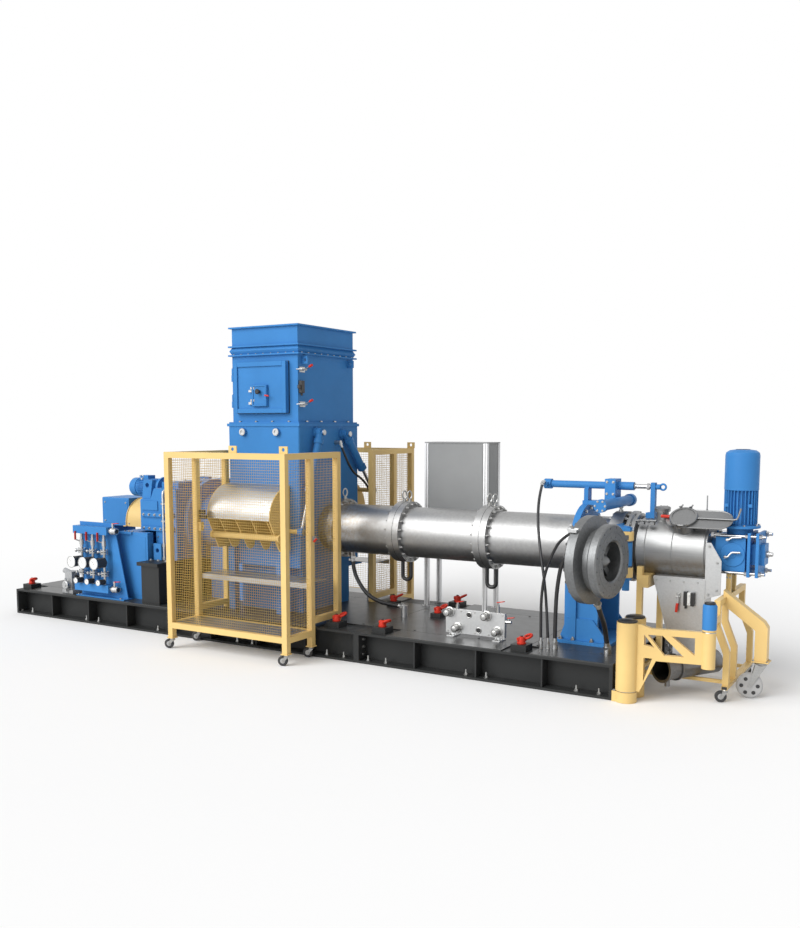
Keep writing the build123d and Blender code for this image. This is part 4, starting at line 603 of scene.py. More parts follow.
def dressRack():
    r = rackSet
    pipes, cases, dials, needles, levers, mouthShade = (bmesh.new() for _ in range(6))
    y = r["pipeY"]
    for x in r["lines"]:
        addRod(pipes, (x, y, r["low"]), (x, y, r["high"]), 0.016, 20)
        addRod(pipes, (x, y, 0.925), (x, y, 0.985), 0.026, 8)
        addRod(pipes, (x, y, 0.99), (x, y, 1.01), 0.022, 6)
        addRod(pipes, (x, y, 0.90), (x, y, 0.92), 0.022, 6)
        for z in r["flanges"]:  # bolted flange pairs
            for step in (-0.022, 0.008):
                addRod(pipes, (x, y, z + step), (x, y, z + step + 0.014), 0.044, 24)
            for k in range(4):
                a = math.radians(45 + 90 * k)
                spot = Vector((x + 0.034 * math.cos(a), y + 0.034 * math.sin(a), z))
                addRod(pipes, spot - Vector((0, 0, 0.034)), spot + Vector((0, 0, 0.034)), 0.006, 8)
            addRod(pipes, (x, y, z), (x - 0.05, y - 0.03, z), 0.009, 10)
            addRod(pipes, (x - 0.05, y - 0.03, z), (x - 0.066, y - 0.04, z), 0.020, 14)
        addRod(pipes, (x, y, 0.955), (x - 0.04, y - 0.052, 0.985), 0.007, 10)
        addBar(levers, (x - 0.043, y - 0.056, 0.982), (x - 0.043, y - 0.056, 1.085), 0.010, 0.024)
        addGauge(cases, pipes, dials, needles, (x, y - r["gaugeOut"], r["gaugeZ"]), r["gauge"], y - 0.004)
        addGauge(cases, pipes, dials, needles, (x, y - r["smallOut"], r["smallZ"]), r["small"], y - 0.004)
    for z in r["headers"]:  # end valves on both headers
        x = r["right"]
        addRod(pipes, (x, y, z), (x + 0.03, y, z), 0.024, 20)
        addLathe(pipes, (x + 0.025, y, z), (1, 0, 0),
                [(0, 0.030), (0.010, 0.038), (0.030, 0.040), (0.055, 0.034), (0.075, 0.038), (0.098, 0.038),
                (0.100, 0.034), (0.100, 0.026), (0.092, 0.025)], 28)
        # painted shade: a black disc inside the valve's open end
        addLathe(mouthShade, (x + 0.115, y, z), (1, 0, 0), [(0, 0.025), (0.003, 0.025), (0.004, 0.020)], 24)
        addRod(pipes, (x + 0.06, y, z + 0.03), (x + 0.06, y, z + 0.085), 0.013, 12)
        addRod(pipes, (x + 0.06, y, z + 0.072), (x + 0.06, y, z + 0.094), 0.018, 6)
        addBar(levers, (x + 0.05, y, z + 0.088), (x + 0.165, y - 0.015, z + 0.100), 0.024, 0.008)
    makePiece("rackPipes", pipes, "plateSteel", stands=("water_valves",))
    makePiece("gaugeCases", cases, "caseGrey", stands=("water_valves",))
    makePiece("gaugeDials", dials, "dialWhite", stands=("water_valves",))
    makePiece("gaugeNeedles", needles, "caseGrey", stands=("water_valves",))
    makePiece("rackLevers", levers, "signalRed", stands=("water_valves",), edge=0.002)
    makePiece("valveMouthShade", mouthShade, "knobBlack", stands=("water_valves",))
    bag = bmesh.new()
    for z in r["headers"]:  # header end caps and frame bolts
        addBox(bag, (-2.578, -0.93, z - 0.035), (-2.57, -0.86, z + 0.035))
    addBolts(bag, (-2.55, -1.85), [-0.90], [0.324], (0, 0, 1), 0.012)
    addBolts(bag, (-2.40, -2.18), [-0.80], [1.145], (0, 0, 1), 0.010)
    makePiece("rackBolts", bag, "boltZinc")


dressRack()
print("rack dressed")

# drive end: ribbed oil motor, bolted gearbox, guard rims, pump head, oil pipes
driveSet = {"oilAxis": (-0.17, 1.575), "oilSpan": (-2.28, -1.88), "oilRadius": 0.105, "fins": 30,
            "boxLeft": -1.80, "seams": (1.135, 1.295), "pump": (-2.77, -0.895, 0.412),
            "guardAxis": 1.15, "guardFoot": 1.092, "guardRadius": 0.273,
            "pipes": (-1.40, -1.34), "pipeFront": -0.642}


def dressDrive():
    y, z = driveSet["oilAxis"]
    start, end = driveSet["oilSpan"]
    ribs = bmesh.new()
    for k in range(driveSet["fins"]):
        a = 2 * math.pi * k / driveSet["fins"]
        if abs(math.degrees(a) - 90) < 24:  # the terminal box sits here
            continue
        out = Vector((0, math.cos(a), math.sin(a)))
        middle = Vector((0, y, z)) + out * (driveSet["oilRadius"] + 0.006)
        frameTurn = Matrix((Vector((1, 0, 0)), out, Vector((1, 0, 0)).cross(out))).transposed().to_4x4()
        bmesh.ops.create_cube(ribs, size=1,
                matrix=Matrix.Translation(((start + end) / 2 + 0.04, middle.y, middle.z)) @ frameTurn
                @ Matrix.Diagonal((end - start - 0.09, 0.020, 0.0045, 1)))
    addLathe(ribs, (start - 0.055, y, z), (1, 0, 0),
            [(0, 0.075), (0.012, 0.100), (0.03, 0.112), (0.12, 0.114), (0.122, 0.106)], 40)
    makePiece("oilMotorRibs", ribs, "machineBlue", edge=0.001)
    bag = bmesh.new()
    eyeX, eyeY = (start + end) / 2 - 0.06, y - 0.06  # lifting eye of the oil motor
    addRing(bag, (eyeX, eyeY, z + 0.125), (0, 1, 0), 0.022, 0.006)
    addRod(bag, (eyeX, eyeY, z + 0.085), (eyeX, eyeY, z + 0.105), 0.012)
    addBoltCircle(bag, (-1.84, y, z), (-1, 0, 0), 0.118, 8, 0.008)
    for seam in driveSet["seams"]:
        for k in range(6):
            x = driveSet["boxLeft"] + 0.07 + k * 0.088
            for side in (-1, 1):
                addBolt(bag, (x, side * 0.625, seam), (0, side, 0), 0.013)
    # crown, inspection cover, gearbox foot on the plinth, pedestal top
    addBolts(bag, (-1.50, -1.38, -1.30), (-0.47, -0.16, 0.16, 0.47), [1.67], (0, 0, 1), 0.012)
    addBolts(bag, (-1.52, -1.30), [-0.60], (0.86, 1.04), (0, -1, 0), 0.011)
    addBolts(bag, (-1.535, -1.42, -1.30), (-0.72, 0.72), [0.78], (0, 0, 1), 0.016)
    addBolts(bag, (-1.955, -1.90, -1.84), [-0.70], [1.09], (0, 0, 1), 0.011)
    makePiece("driveBolts", bag, "boltZinc")
    plate = bmesh.new()
    addBox(plate, (-1.54, -0.606, 0.84), (-1.28, -0.60, 1.06))  # cover plate on the gearbox front
    addBox(plate, (-1.77, -0.612, 1.345), (-1.52, -0.60, 1.45))
    addLathe(plate, (-1.40, -0.60, 1.50), (0, -1, 0),
            [(0, 0.06), (0.012, 0.06), (0.018, 0.054), (0.018, 0.03), (0.026, 0.028)], 28)
    addBox(plate, (-2.83, -0.2235, 1.11), (-2.41, -0.22, 1.40))  # motor's side door
    addBox(plate, (-2.8535, -0.18, 1.12), (-2.85, 0.18, 1.39))
    addBox(plate, (-1.99, -0.733, 0.36), (-1.60, -0.73, 1.04))  # pedestal's side panel
    makePiece("driveCovers", plate, "machineBlue", edge=0.002)
    screws = bmesh.new()
    addBolts(screws, (-2.80, -2.44), [-0.2235], (1.14, 1.37), (0, -1, 0), 0.009)
    makePiece("motorScrews", screws, "boltZinc")


def dressGuard():
    band = bmesh.new()
    radius = driveSet["guardRadius"]
    for x in (-2.383, -1.815):  # folded rims of the coupling guard
        arch = [(x, radius * math.cos(a), driveSet["guardAxis"] + radius * math.sin(a))
                for a in (math.pi * k / 24 for k in range(25))]
        feet = [(x, way * radius, driveSet["guardFoot"]) for way in (1, -1)]
        addTube(band, [feet[0], *arch, feet[1]], 0.008, 8)
    for x in (-2.39, -2.10, -1.83):
        addBox(band, (x - 0.02, -0.30, 1.09), (x + 0.02, -0.268, 1.10))
    makePiece("guardRims", band, "guardYellow")
    screws = bmesh.new()
    for side in (-1, 1):
        addBolts(screws, (-2.34, -2.10, -1.86), [side * 0.270], [1.125], (0, side, 0), 0.009)
    makePiece("guardScrews", screws, "boltZinc")


def dressPump():
    pump = bmesh.new()
    x, y, z = driveSet["pump"]
    addLathe(pump, (x, y, z), (0, -1, 0),
            [(0, 0.05), (0.02, 0.05), (0.024, 0.045), (0.024, 0.02), (0.03, 0.018)], 28)
    addBoltCircle(pump, (x, y - 0.024, z), (0, -1, 0), 0.036, 6, 0.006, start=0)
    addRod(pump, (x, y - 0.01, z + 0.043), (x, y - 0.01, z + 0.088), 0.012)
    addRod(pump, (x, y - 0.01, z - 0.042), (x, y - 0.01, z - 0.077), 0.012)
    makePiece("pumpHead", pump, "plateSteel")
    knob = bmesh.new()
    addLathe(knob, (-2.70, -0.80, 0.50), (1, 0, 0), [(0, 0.026), (0.02, 0.026), (0.026, 0.02)], 20)
    makePiece("pumpKnob", knob, "knobBlack")


def dressOilPipes():
    pipes = bmesh.new()
    front = driveSet["pipeFront"]
    for x in driveSet["pipes"]:  # two risers, bent in at the top
        addTube(pipes, [(x, front, 0.785), (x, front, 1.54), (x, front + 0.006, 1.565),
                (x, front + 0.02, 1.578), (x, front + 0.045, 1.582)], 0.0135, 14)
        for z in (0.782, 0.935):
            addRod(pipes, (x, front, z), (x, front, z + 0.036), 0.021, 6)
    makePiece("oilPipework", pipes, "plateSteel", stands=("oil_pipes",))
    clips = bmesh.new()
    addTube(clips, [(-1.60, front, 0.80), (-1.60, front, 0.915), (-1.594, front, 0.938),
            (-1.576, front, 0.946), (-1.40, front, 0.952)], 0.0125, 14)
    addRod(clips, (-1.60, front, 0.80), (-1.60, front, 0.836), 0.021, 6)
    for z in (1.22, 1.42):  # pipe clips
        addBox(clips, (-1.425, -0.652, z), (-1.315, -0.602, z + 0.018))
        addBolt(clips, (-1.37, -0.652, z + 0.009), (0, -1, 0), 0.007)
    makePiece("pipeClips", clips, "boltZinc")


dressDrive()
dressGuard()
dressPump()
dressOilPipes()
print("drive end dressed")

# guard cages: fine wire panels, latch, switch, hasp and shelf
cageSet = {"left": -0.60, "right": 0.95, "front": -1.43, "middle": -0.96, "back": -0.49, "top": 2.05,
        "rail": 0.22, "panelRail": 0.342, "tube": 0.06, "pitch": 0.026, "wire": 0.0016, "rearShift": -0.23}


def addWires(bag, corner, across, width, height):
    # woven wires in a frame, from one lower corner along the across direction
    corner, across = Vector(corner), Vector(across)
    outward = across.cross(Vector((0, 0, 1)))
    count = round(width / cageSet["pitch"])
    for k in range(1, count):
        spot = corner + across * (width * k / count) + outward * cageSet["wire"]
        addRod(bag, spot, spot + Vector((0, 0, height)), cageSet["wire"], 4)
    count = round(height / cageSet["pitch"])
    for k in range(1, count):
        spot = corner + Vector((0, 0, height * k / count)) - outward * cageSet["wire"]
        addRod(bag, spot, spot + across * width, cageSet["wire"], 4)


def cagePanel(name, node, panels):
    bag = bmesh.new()
    for corner, across, width, height in panels:
        addWires(bag, corner, across, width, height)
    makePiece(name, bag, "wireGold", stands=(node,), sharp=60)


def sidePanels(x, flip):
    c = cageSet
    low = c["rail"] + c["tube"]
    fixedLow = c["panelRail"] + c["tube"]
    depth = c["middle"] - c["front"] - 2 * c["tube"]
    fixedDepth = c["back"] - c["middle"] - c["tube"]
    along = (0, flip, 0)
    return [((x, flip * (c["front"] + c["tube"]), low), along, depth, c["top"] - c["tube"] - low),
            ((x, flip * c["middle"], fixedLow), along, fixedDepth, c["top"] - c["tube"] - fixedLow)]


def dressCages():
    c = cageSet
    low = c["rail"] + c["tube"]
    width = c["right"] - c["left"] - 2 * c["tube"]
    height = c["top"] - c["tube"] - low
    half = c["tube"] / 2
    cagePanel("wireFront", "cage_mesh_front",
            [((c["left"] + c["tube"], c["front"] + half, low), (1, 0, 0), width, height)])
    cagePanel("wireLeft", "cage_mesh_left", sidePanels(c["left"] + half, 1))
    cagePanel("wireRight", "cage_mesh_right", sidePanels(c["right"] - half, 1))
    s = c["rearShift"]
    cagePanel("wireRear", "rear_cage_mesh",
              [((c["left"] + c["tube"] + s, -c["front"] - half, low), (1, 0, 0), width, height)]
              + sidePanels(c["left"] + half + s, -1) + sidePanels(c["right"] - half + s, -1))
    bag = bmesh.new()
    addBox(bag, (0.948, -1.0, 1.18), (0.962, -0.95, 1.225))  # latch with its lever
    addRod(bag, (0.960, -0.975, 1.20), (0.992, -0.975, 1.20), 0.010, 12)
    addTube(bag, [(0.985, -0.972, 1.202), (0.998, -0.985, 1.204), (1.002, -1.005, 1.20)], 0.007)
    makePiece("cageLatch", bag, "plateSteel", edge=0.001)
    bag = bmesh.new()
    addTube(bag, [(1.001, -1.0, 1.201), (1.004, -1.015, 1.196), (1.006, -1.045, 1.184)], 0.012, 12)
    makePiece("latchTip", bag, "signalRed")
    bag = bmesh.new()
    addBox(bag, (-0.541, -0.990, 1.33), (-0.452, -0.955, 1.372))  # door switch on the inner post
    addBox(bag, (-0.541, -0.990, 1.38), (-0.470, -0.958, 1.425))
    makePiece("cageSwitch", bag, "knobBlack", edge=0.003)
    bag = bmesh.new()
    addBox(bag, (-0.545, -1.001, 1.20), (-0.505, -0.955, 1.295))  # hasp with its staple
    addRing(bag, (-0.502, -0.978, 1.248), (0, 1, 0), 0.020, 0.005, 24, 8)
    addBolt(bag, (-0.525, -1.001, 1.275), (0, -1, 0), 0.006)
    makePiece("cageHasp", bag, "guardYellow", edge=0.003)
    sheet = bmesh.new()
    for shift, flip in ((0, 1), (s, -1)):  # bare metal shelf with a folded front edge
        front, rear = flip * -0.981, flip * -0.64
        addBox(sheet, (-0.52 + shift, min(front, rear), 0.740), (0.87 + shift, max(front, rear), 0.743))
        addBox(sheet, (-0.52 + shift, min(front, front + flip * 0.003), 0.690),
                (0.87 + shift, max(front, front + flip * 0.003), 0.742))
    makePiece("cageShelf", sheet, "plateSteel", edge=0.001)


dressCages()
print("cages dressed")


# castors, with forks, tyres and hubs of their own
def addCastor(forks, tyres, hubs, spokeGapShade, place, top, radius, width, trail, holes=0):
    x, y = place
    along = Vector((trail[0], trail[1], 0)).normalized()
    across = Vector((along.y, -along.x, 0))
    wheel = Vector((x + trail[0], y + trail[1], radius))
    addLathe(forks, (x, y, top - 0.006), (0, 0, 1),
            [(-0.028, 0.30 * radius), (-0.012, 0.52 * radius), (0, 0.56 * radius), (0.006, 0.5 * radius)], 24)
    swivel = Vector((x, y, top - 0.02))
    for side in (-1, 1):
        cheek = across * side * (width / 2 + 0.005)
        corners = [wheel - along * 0.012 + cheek, wheel + along * 0.012 + cheek, swivel
                + along * 0.42 * radius + cheek, swivel - along * 0.42 * radius + cheek]
        corners[0].z -= 0.012
        corners[1].z -= 0.012
        thick = across * side * 0.005
        addPrism(forks, corners, thick)
        addBolt(forks, wheel + cheek + thick, across * side, 0.011)
    addBox(forks, swivel - Vector((0.42 * radius, 0.42 * radius, 0.003)), swivel
            + Vector((0.42 * radius, 0.42 * radius, 0.003)))
    half = width / 2
    crown = 0.12 * radius
    addLathe(tyres, wheel - across * half, across,
            [(0, 0.52 * radius), (0, radius - crown), (crown, radius), (width - crown, radius),
            (width, radius - crown), (width, 0.52 * radius)], 40)
    addLathe(hubs, wheel - across * (half + 0.0015), across,
            [(0, 0.20 * radius), (0.001, 0.50 * radius), (width + 0.002, 0.50 * radius),
            (width + 0.003, 0.20 * radius)], 32)
    # painted shade: black plugs through the wheel stand in for the dark gaps between the spokes
    for k in range(holes):  # dark pockets between the spokes
        a = 2 * math.pi * k / holes
        spot = wheel + (along * math.cos(a) + Vector((0, 0, 1)) * math.sin(a)) * 0.60 * radius
        addLathe(spokeGapShade, spot - across * (half + 0.003), across,
                [(0, 0.15 * radius), (width + 0.006, 0.15 * radius)], 14)


castorSet = {"cageTop": 0.11, "cageRadius": 0.05, "cageWidth": 0.026, "cageTrail": (-0.032, -0.014),
             "big": (5.085, -0.25), "bigTop": 0.32, "bigRadius": 0.11, "small": (4.85, 0.517)}


def dressCastors():
    forks, tyres, hubs = (bmesh.new() for _ in range(3))
    s = castorSet
    for shift, flip in ((0, 1), (cageSet["rearShift"], -1)):
        for x in (cageSet["left"] + 0.03, cageSet["right"] - 0.03):
            for y in (cageSet["front"] + 0.03, cageSet["middle"] - 0.03):
                addCastor(forks, tyres, hubs, tyres, (x + shift, flip * y), s["cageTop"], s["cageRadius"],
                        s["cageWidth"], (s["cageTrail"][0], flip * s["cageTrail"][1]))
    makePiece("cageForks", forks, "boltZinc", stands=("cage_castors",))
    makePiece("cageTyres", tyres, "tyreBlack", stands=("cage_castors",))
    makePiece("cageHubs", hubs, "hubGrey", stands=("cage_castors",))
    forks, tyres, hubs = (bmesh.new() for _ in range(3))
    for y in (-s["small"][1], s["small"][1]):
        addCastor(forks, tyres, hubs, tyres, (s["small"][0], y), 0.11, 0.05, 0.026, (-0.030, -0.012))
    addCastor(forks, hubs, hubs, tyres, s["big"], s["bigTop"], s["bigRadius"], 0.05, (-0.085, -0.020), 6)
    makePiece("trolleyForks", forks, "boltZinc", "trolley", ("trolley_castors",))
    makePiece("trolleyTyres", tyres, "tyreBlack", "trolley", ("trolley_castors",))
    makePiece("trolleyHubs", hubs, "hubGrey", "trolley", ("trolley_castors",))


dressCastors()
print("castors dressed")

# swing cylinders between hopper and feed units: (y, z) of their top and foot pins
swingSet = {"x": 0.54, "tops": [(-0.271, 2.245), (0.224, 2.226)], "feet": [(-0.619, 1.211), (0.769, 1.573)],
            "topFace": 0.590, "footFace": 0.568, "rodRadius": 0.0188}

# feed units: side cheeks, curved blades and the bar through them
feedSet = {"left": -0.50, "right": 0.35, "cheek": 0.012, "wall": -0.56, "roll": 0.35, "rollZ": 1.34,
        "foot": 1.0, "blades": [-0.33, -0.115, 0.10, 0.30], "bar": (-0.805, 1.148), "barRadius": 0.032}


def addPlate(bag, outline, start, end):
    # a flat plate square to X from its outline of (y, z) points
    addPrism(bag, [(start, y, z) for y, z in outline], Vector((end - start, 0, 0)))


def dressFeed():
    f = feedSet
    bag = bmesh.new()
    front = f["wall"] - f["roll"]
    arc = [(f["wall"] + f["roll"] * math.cos(math.radians(a)), f["rollZ"]
            + f["roll"] * math.sin(math.radians(a))) for a in range(90, 181, 6)]
    cheek = arc + [(front + 0.17, f["foot"]), (f["wall"] - 0.002, f["foot"])]
    low = [(-0.655 + 0.075 * math.cos(math.radians(a)), 1.075 + 0.075 * math.sin(math.radians(a)))
            for a in range(215, 341, 14)]
    blade = [(front + 0.006, f["rollZ"] - 0.004)] + low + [(f["wall"] - 0.006, 1.14),
            (f["wall"] - 0.006, f["rollZ"] - 0.004)]
    for flip in (1, -1):
        for x in (f["left"], f["right"] - f["cheek"]):
            addPlate(bag, [(flip * y, z) for y, z in cheek], x, x + f["cheek"])
        for x in f["blades"]:
            addPlate(bag, [(flip * y, z) for y, z in blade], x - 0.004, x + 0.004)
        y, z = flip * f["bar"][0], f["bar"][1]
        addRod(bag, (f["left"] - 0.02, y, z), (f["right"] + 0.06, y, z), f["barRadius"], 28)
        for x in (f["left"] - 0.02, f["right"] + 0.035):
            addRod(bag, (x, y, z), (x + 0.025, y, z), f["barRadius"] + 0.012, 28)
        addBox(bag, (f["left"] + 0.02, min(flip * (f["wall"] - 0.03), flip * (f["wall"] - 0.006)), 1.13),
                (f["right"] - 0.02, max(flip * (f["wall"] - 0.03), flip * (f["wall"] - 0.006)),
                f["rollZ"] - 0.004))
    for y, z in swingSet["feet"]:
        addRod(bag, (f["right"], y, z), (swingSet["footFace"], y, z), 0.024, 20)
    makePiece("feedBlades", bag, "guardYellow", stands=("feed_deflector",), edge=0.001)
    rim = bmesh.new()
    for flip in (1, -1):  # rolled lip along the cover's lower edge
        addRod(rim, (f["left"] + 0.012, flip * (front + 0.002), f["rollZ"]),
                (f["right"] - 0.012, flip * (front + 0.002), f["rollZ"]), 0.006, 12)
    makePiece("coverLip", rim, "plateSteel")


dressFeed()
print("feed units dressed")

# hopper: bolted collar, plugs, door furniture
hopperSet = {"halfX": 0.44, "halfY": 0.52, "lip": 0.018, "baseTop": 2.356, "collarLow": 3.076,
        "collarHigh": 3.154, "doorFace": -0.566, "door": (-0.375, 0.325, 2.45, 2.99),
        "flap": (-0.119, 0.084, 2.52, 2.75), "flapFace": -0.590, "sealY": -0.523, "border": 0.048,
        "doorPin": (-0.401, -0.546), "flapPin": (-0.133, -0.579), "catches": (2.54, 2.90)}


def dressHopper():
    h = hopperSet
    bag = bmesh.new()
    for k in range(9):  # collar bolts along each face
        s = -1 + 2 * (k + 0.5) / 9
        for side in (-1, 1):
            for z in (h["collarLow"], h["collarHigh"]):
                addBolt(bag, (s * (h["halfX"] + 0.01), side * (h["halfY"] + h["lip"]), z), (0, 0, 1), 0.0075)
                addBolt(bag, (side * (h["halfX"] + h["lip"]), s * (h["halfY"] + 0.01), z), (0, 0, 1), 0.0075)
    for k in range(4):  # base flange, four a face
        t = -1 + 2 * (k + 0.5) / 4
        for side in (-1, 1):
            addBolt(bag, (t * h["halfX"], side * (h["halfY"] + h["lip"]), h["baseTop"]), (0, 0, 1), 0.013)
            addBolt(bag, (side * (h["halfX"] + h["lip"]), t * h["halfY"], h["baseTop"]), (0, 0, 1), 0.013)
    makePiece("hopperBolts", bag, "boltZinc")
    plugs = bmesh.new()
    for x in (-0.2629, 0.1912):
        for side in (-1, 1):
            addLathe(plugs, (x, side * 0.582, 2.25), (0, side, 0),
                    [(0, 0.040), (0.010, 0.040), (0.014, 0.036), (0.014, 0.018), (0.006, 0.016)], 28)
    for y, z in swingSet["tops"]:  # pivot pin heads
        addLathe(plugs, (swingSet["topFace"], y, z), (1, 0, 0),
                [(0, 0.030), (0.010, 0.030), (0.014, 0.025)], 24)
    makePiece("hopperPlugs", plugs, "plateSteel")
    rods = bmesh.new()
    for top, foot in zip(swingSet["tops"], swingSet["feet"]):
        start, end = Vector((swingSet["x"], *top)), Vector((swingSet["x"], *foot))
        addRod(rods, start + (end - start) * 0.6, end - (end - start).normalized() * 0.046,
                swingSet["rodRadius"], 24)
    makePiece("swingRods", rods, "chrome")
    rims = bmesh.new()
    for y, z in swingSet["feet"]:
        addLathe(rims, (swingSet["footFace"], y, z), (1, 0, 0),
                [(0, 0.034), (0.007, 0.034), (0.009, 0.030)], 24)
    makePiece("swingFootCaps", rims, "boltZinc")


def dressDoor():
    h = hopperSet
    seam = bmesh.new()
    x0, x1, z0, z1 = h["door"]
    for a, b in (((x0, z0), (x1, z0)), ((x1, z0), (x1, z1)), ((x1, z1), (x0, z1)), ((x0, z1), (x0, z0))):
        # rubber seal behind the door
        addBar(seam, (a[0], h["sealY"], a[1]), (b[0], h["sealY"], b[1]), 0.012, 0.008)
    makePiece("doorSeal", seam, "knobBlack")
    border = bmesh.new()
    # raised border round the door panel
    addBorder(border, (x0, h["doorFace"] - 0.016, z0), (x1, h["doorFace"], z1), h["border"])
    makePiece("doorBorder", border, "machineBlue", "hopper_door", edge=0.003)
    rails = bmesh.new()
    x0, x1, z0, z1 = h["flap"]
    addBorder(rails, (x0 + 0.006, h["flapFace"] - 0.008, z0 + 0.004), (x1 - 0.006, h["flapFace"], z1 - 0.004),
            0.016)
    makePiece("flapBorder", rails, "machineBlue", "door_flap", edge=0.002)
    hinge = bmesh.new()
    for z in (2.51, 2.79):
        for step in (0, 0.072):
            addLathe(hinge, (*h["doorPin"], z + step), (0, 0, 1),
                    [(0, 0.0215), (0.004, 0.0225), (0.064, 0.0225), (0.068, 0.0215)], 20)
        addLathe(hinge, (*h["doorPin"], z + 0.144), (0, 0, 1),
                [(0, 0.014), (0.008, 0.014), (0.012, 0.009)], 16)
    makePiece("doorHinges", hinge, "machineBlue")
    catches = bmesh.new()
    tips = bmesh.new()
    for z in h["catches"]:  # toggle clamps on the discharge side
        addBox(catches, (0.44, -0.50, z - 0.028), (0.452, -0.41, z + 0.028))
        addBox(catches, (0.452, -0.47, z - 0.012), (0.482, -0.44, z + 0.012))
        addRod(catches, (0.475, -0.505, z), (0.475, -0.415, z), 0.010, 12)
        addBar(catches, (0.475, -0.45, z), (0.505, -0.53, z + 0.004), 0.020, 0.008)
        addBar(catches, (0.475, -0.44, z), (0.565, -0.47, z + 0.032), 0.018, 0.008)
        addRod(catches, (0.44, -0.545, z), (0.505, -0.53, z + 0.004), 0.006, 10)
        addTube(tips, [(0.55, -0.465, z + 0.028), (0.57, -0.472, z + 0.034), (0.595, -0.480, z + 0.042)],
                0.013, 12)
    makePiece("doorCatches", catches, "plateSteel", stands=("door_clamps",), edge=0.001)
    makePiece("catchTips", tips, "signalRed", stands=("door_clamps",))
    switch = bmesh.new()
    addBox(switch, (0.44, -0.51, 2.655), (0.482, -0.455, 2.785))
    addBox(switch, (0.446, -0.54, 2.70), (0.476, -0.51, 2.74))
    addRod(switch, (0.461, -0.482, 2.655), (0.461, -0.482, 2.63), 0.011, 12)
    makePiece("doorSwitch", switch, "knobBlack", stands=("door_clamps",), edge=0.004)


def dressFlap():
    pin, face = hopperSet["flapPin"], hopperSet["flapFace"]
    leaf = bmesh.new()
    for z in (2.54, 2.67):  # silver leaves of the flap's hinges
        addRod(leaf, (*pin, z + 0.001), (*pin, z + 0.028), 0.0125, 14)
        addBox(leaf, (-0.165, -0.5905, z + 0.002), (-0.133, -0.588, z + 0.027))
    makePiece("flapHinges", leaf, "plateSteel", "hopper_door")
    leaf = bmesh.new()
    for z in (2.57, 2.70):
        addRod(leaf, (*pin, z + 0.001), (*pin, z + 0.027), 0.0125, 14)
        addBox(leaf, (-0.119, -0.5925, z + 0.002), (-0.085, -0.590, z + 0.026))
    addBolts(leaf, (-0.105, 0.070), [face], (2.535, 2.735), (0, -1, 0), 0.006)
    makePiece("flapLeaves", leaf, "plateSteel", "door_flap")
    knob = bmesh.new()
    addLathe(knob, (-0.0175, face, 2.675), (0, -1, 0),
            [(0, 0.018), (0.022, 0.0175), (0.026, 0.026), (0.042, 0.028), (0.048, 0.022)], 24)
    makePiece("flapKnob", knob, "knobBlack", "door_flap")
    handle = bmesh.new()
    addTube(handle, [(0.075, -0.592, 2.635), (0.075, -0.612, 2.635), (0.082, -0.620, 2.635),
            (0.13, -0.620, 2.628)], 0.009)
    makePiece("flapHandle", handle, "signalRed", "door_flap")


dressHopper()
dressDoor()
dressFlap()
print("hopper dressed")

# barrel: nuts and studs round each flange, lifting eyes on top
barrelSet = {"axis": 1.21, "circle": 0.293, "studs": 20, "nut": 0.0155,
        "faces": [(0.71, 1), (0.64, -1), (1.385, -1), (1.525, 1), (2.37, -1), (2.51, 1), (3.72, -1),
        (3.84, 1)], "eyes": [0.675, 1.425, 1.487, 2.41, 2.472, 3.755]}


def dressBarrel():
    b = barrelSet
    bag = bmesh.new()
    for x, way in b["faces"]:
        addBoltCircle(bag, (x, 0, b["axis"]), (way, 0, 0), b["circle"], b["studs"], b["nut"], 0.014)
    makePiece("flangeNuts", bag, "boltZinc")
    eyes = bmesh.new()
    for x in b["eyes"]:  # tall link-shaped eyes
        foot = Vector((x, 0, b["axis"] + 0.318))
        addRod(eyes, foot - Vector((0, 0, 0.004)), foot + Vector((0, 0, 0.014)), 0.021, 20)
        addRod(eyes, foot + Vector((0, 0, 0.014)), foot + Vector((0, 0, 0.026)), 0.013, 16)
        loop = [foot + Vector((0.013 * math.sin(a), 0.021 * math.sin(a), 0.066 - 0.042 * math.cos(a)))
                for a in (2 * math.pi * k / 24 for k in range(26))]
        addTube(eyes, loop, 0.0085, 10)
    makePiece("barrelEyes", eyes, "boltZinc")
    seams = bmesh.new()
    for x in (1.455, 2.44):  # parting lines between the flanges
        addRing(seams, (x, 0, b["axis"]), (1, 0, 0), 0.3165, 0.0030, 72, 6)
    makePiece("flangeSeams", seams, "knobBlack")


dressBarrel()
print("barrel dressed")

# cabinet and its slotted posts
cabinetSet = {"left": 1.33, "right": 2.09, "front": 0.60, "back": 0.93, "bottom": 1.15, "top": 2.14,
        "post": 0.045}


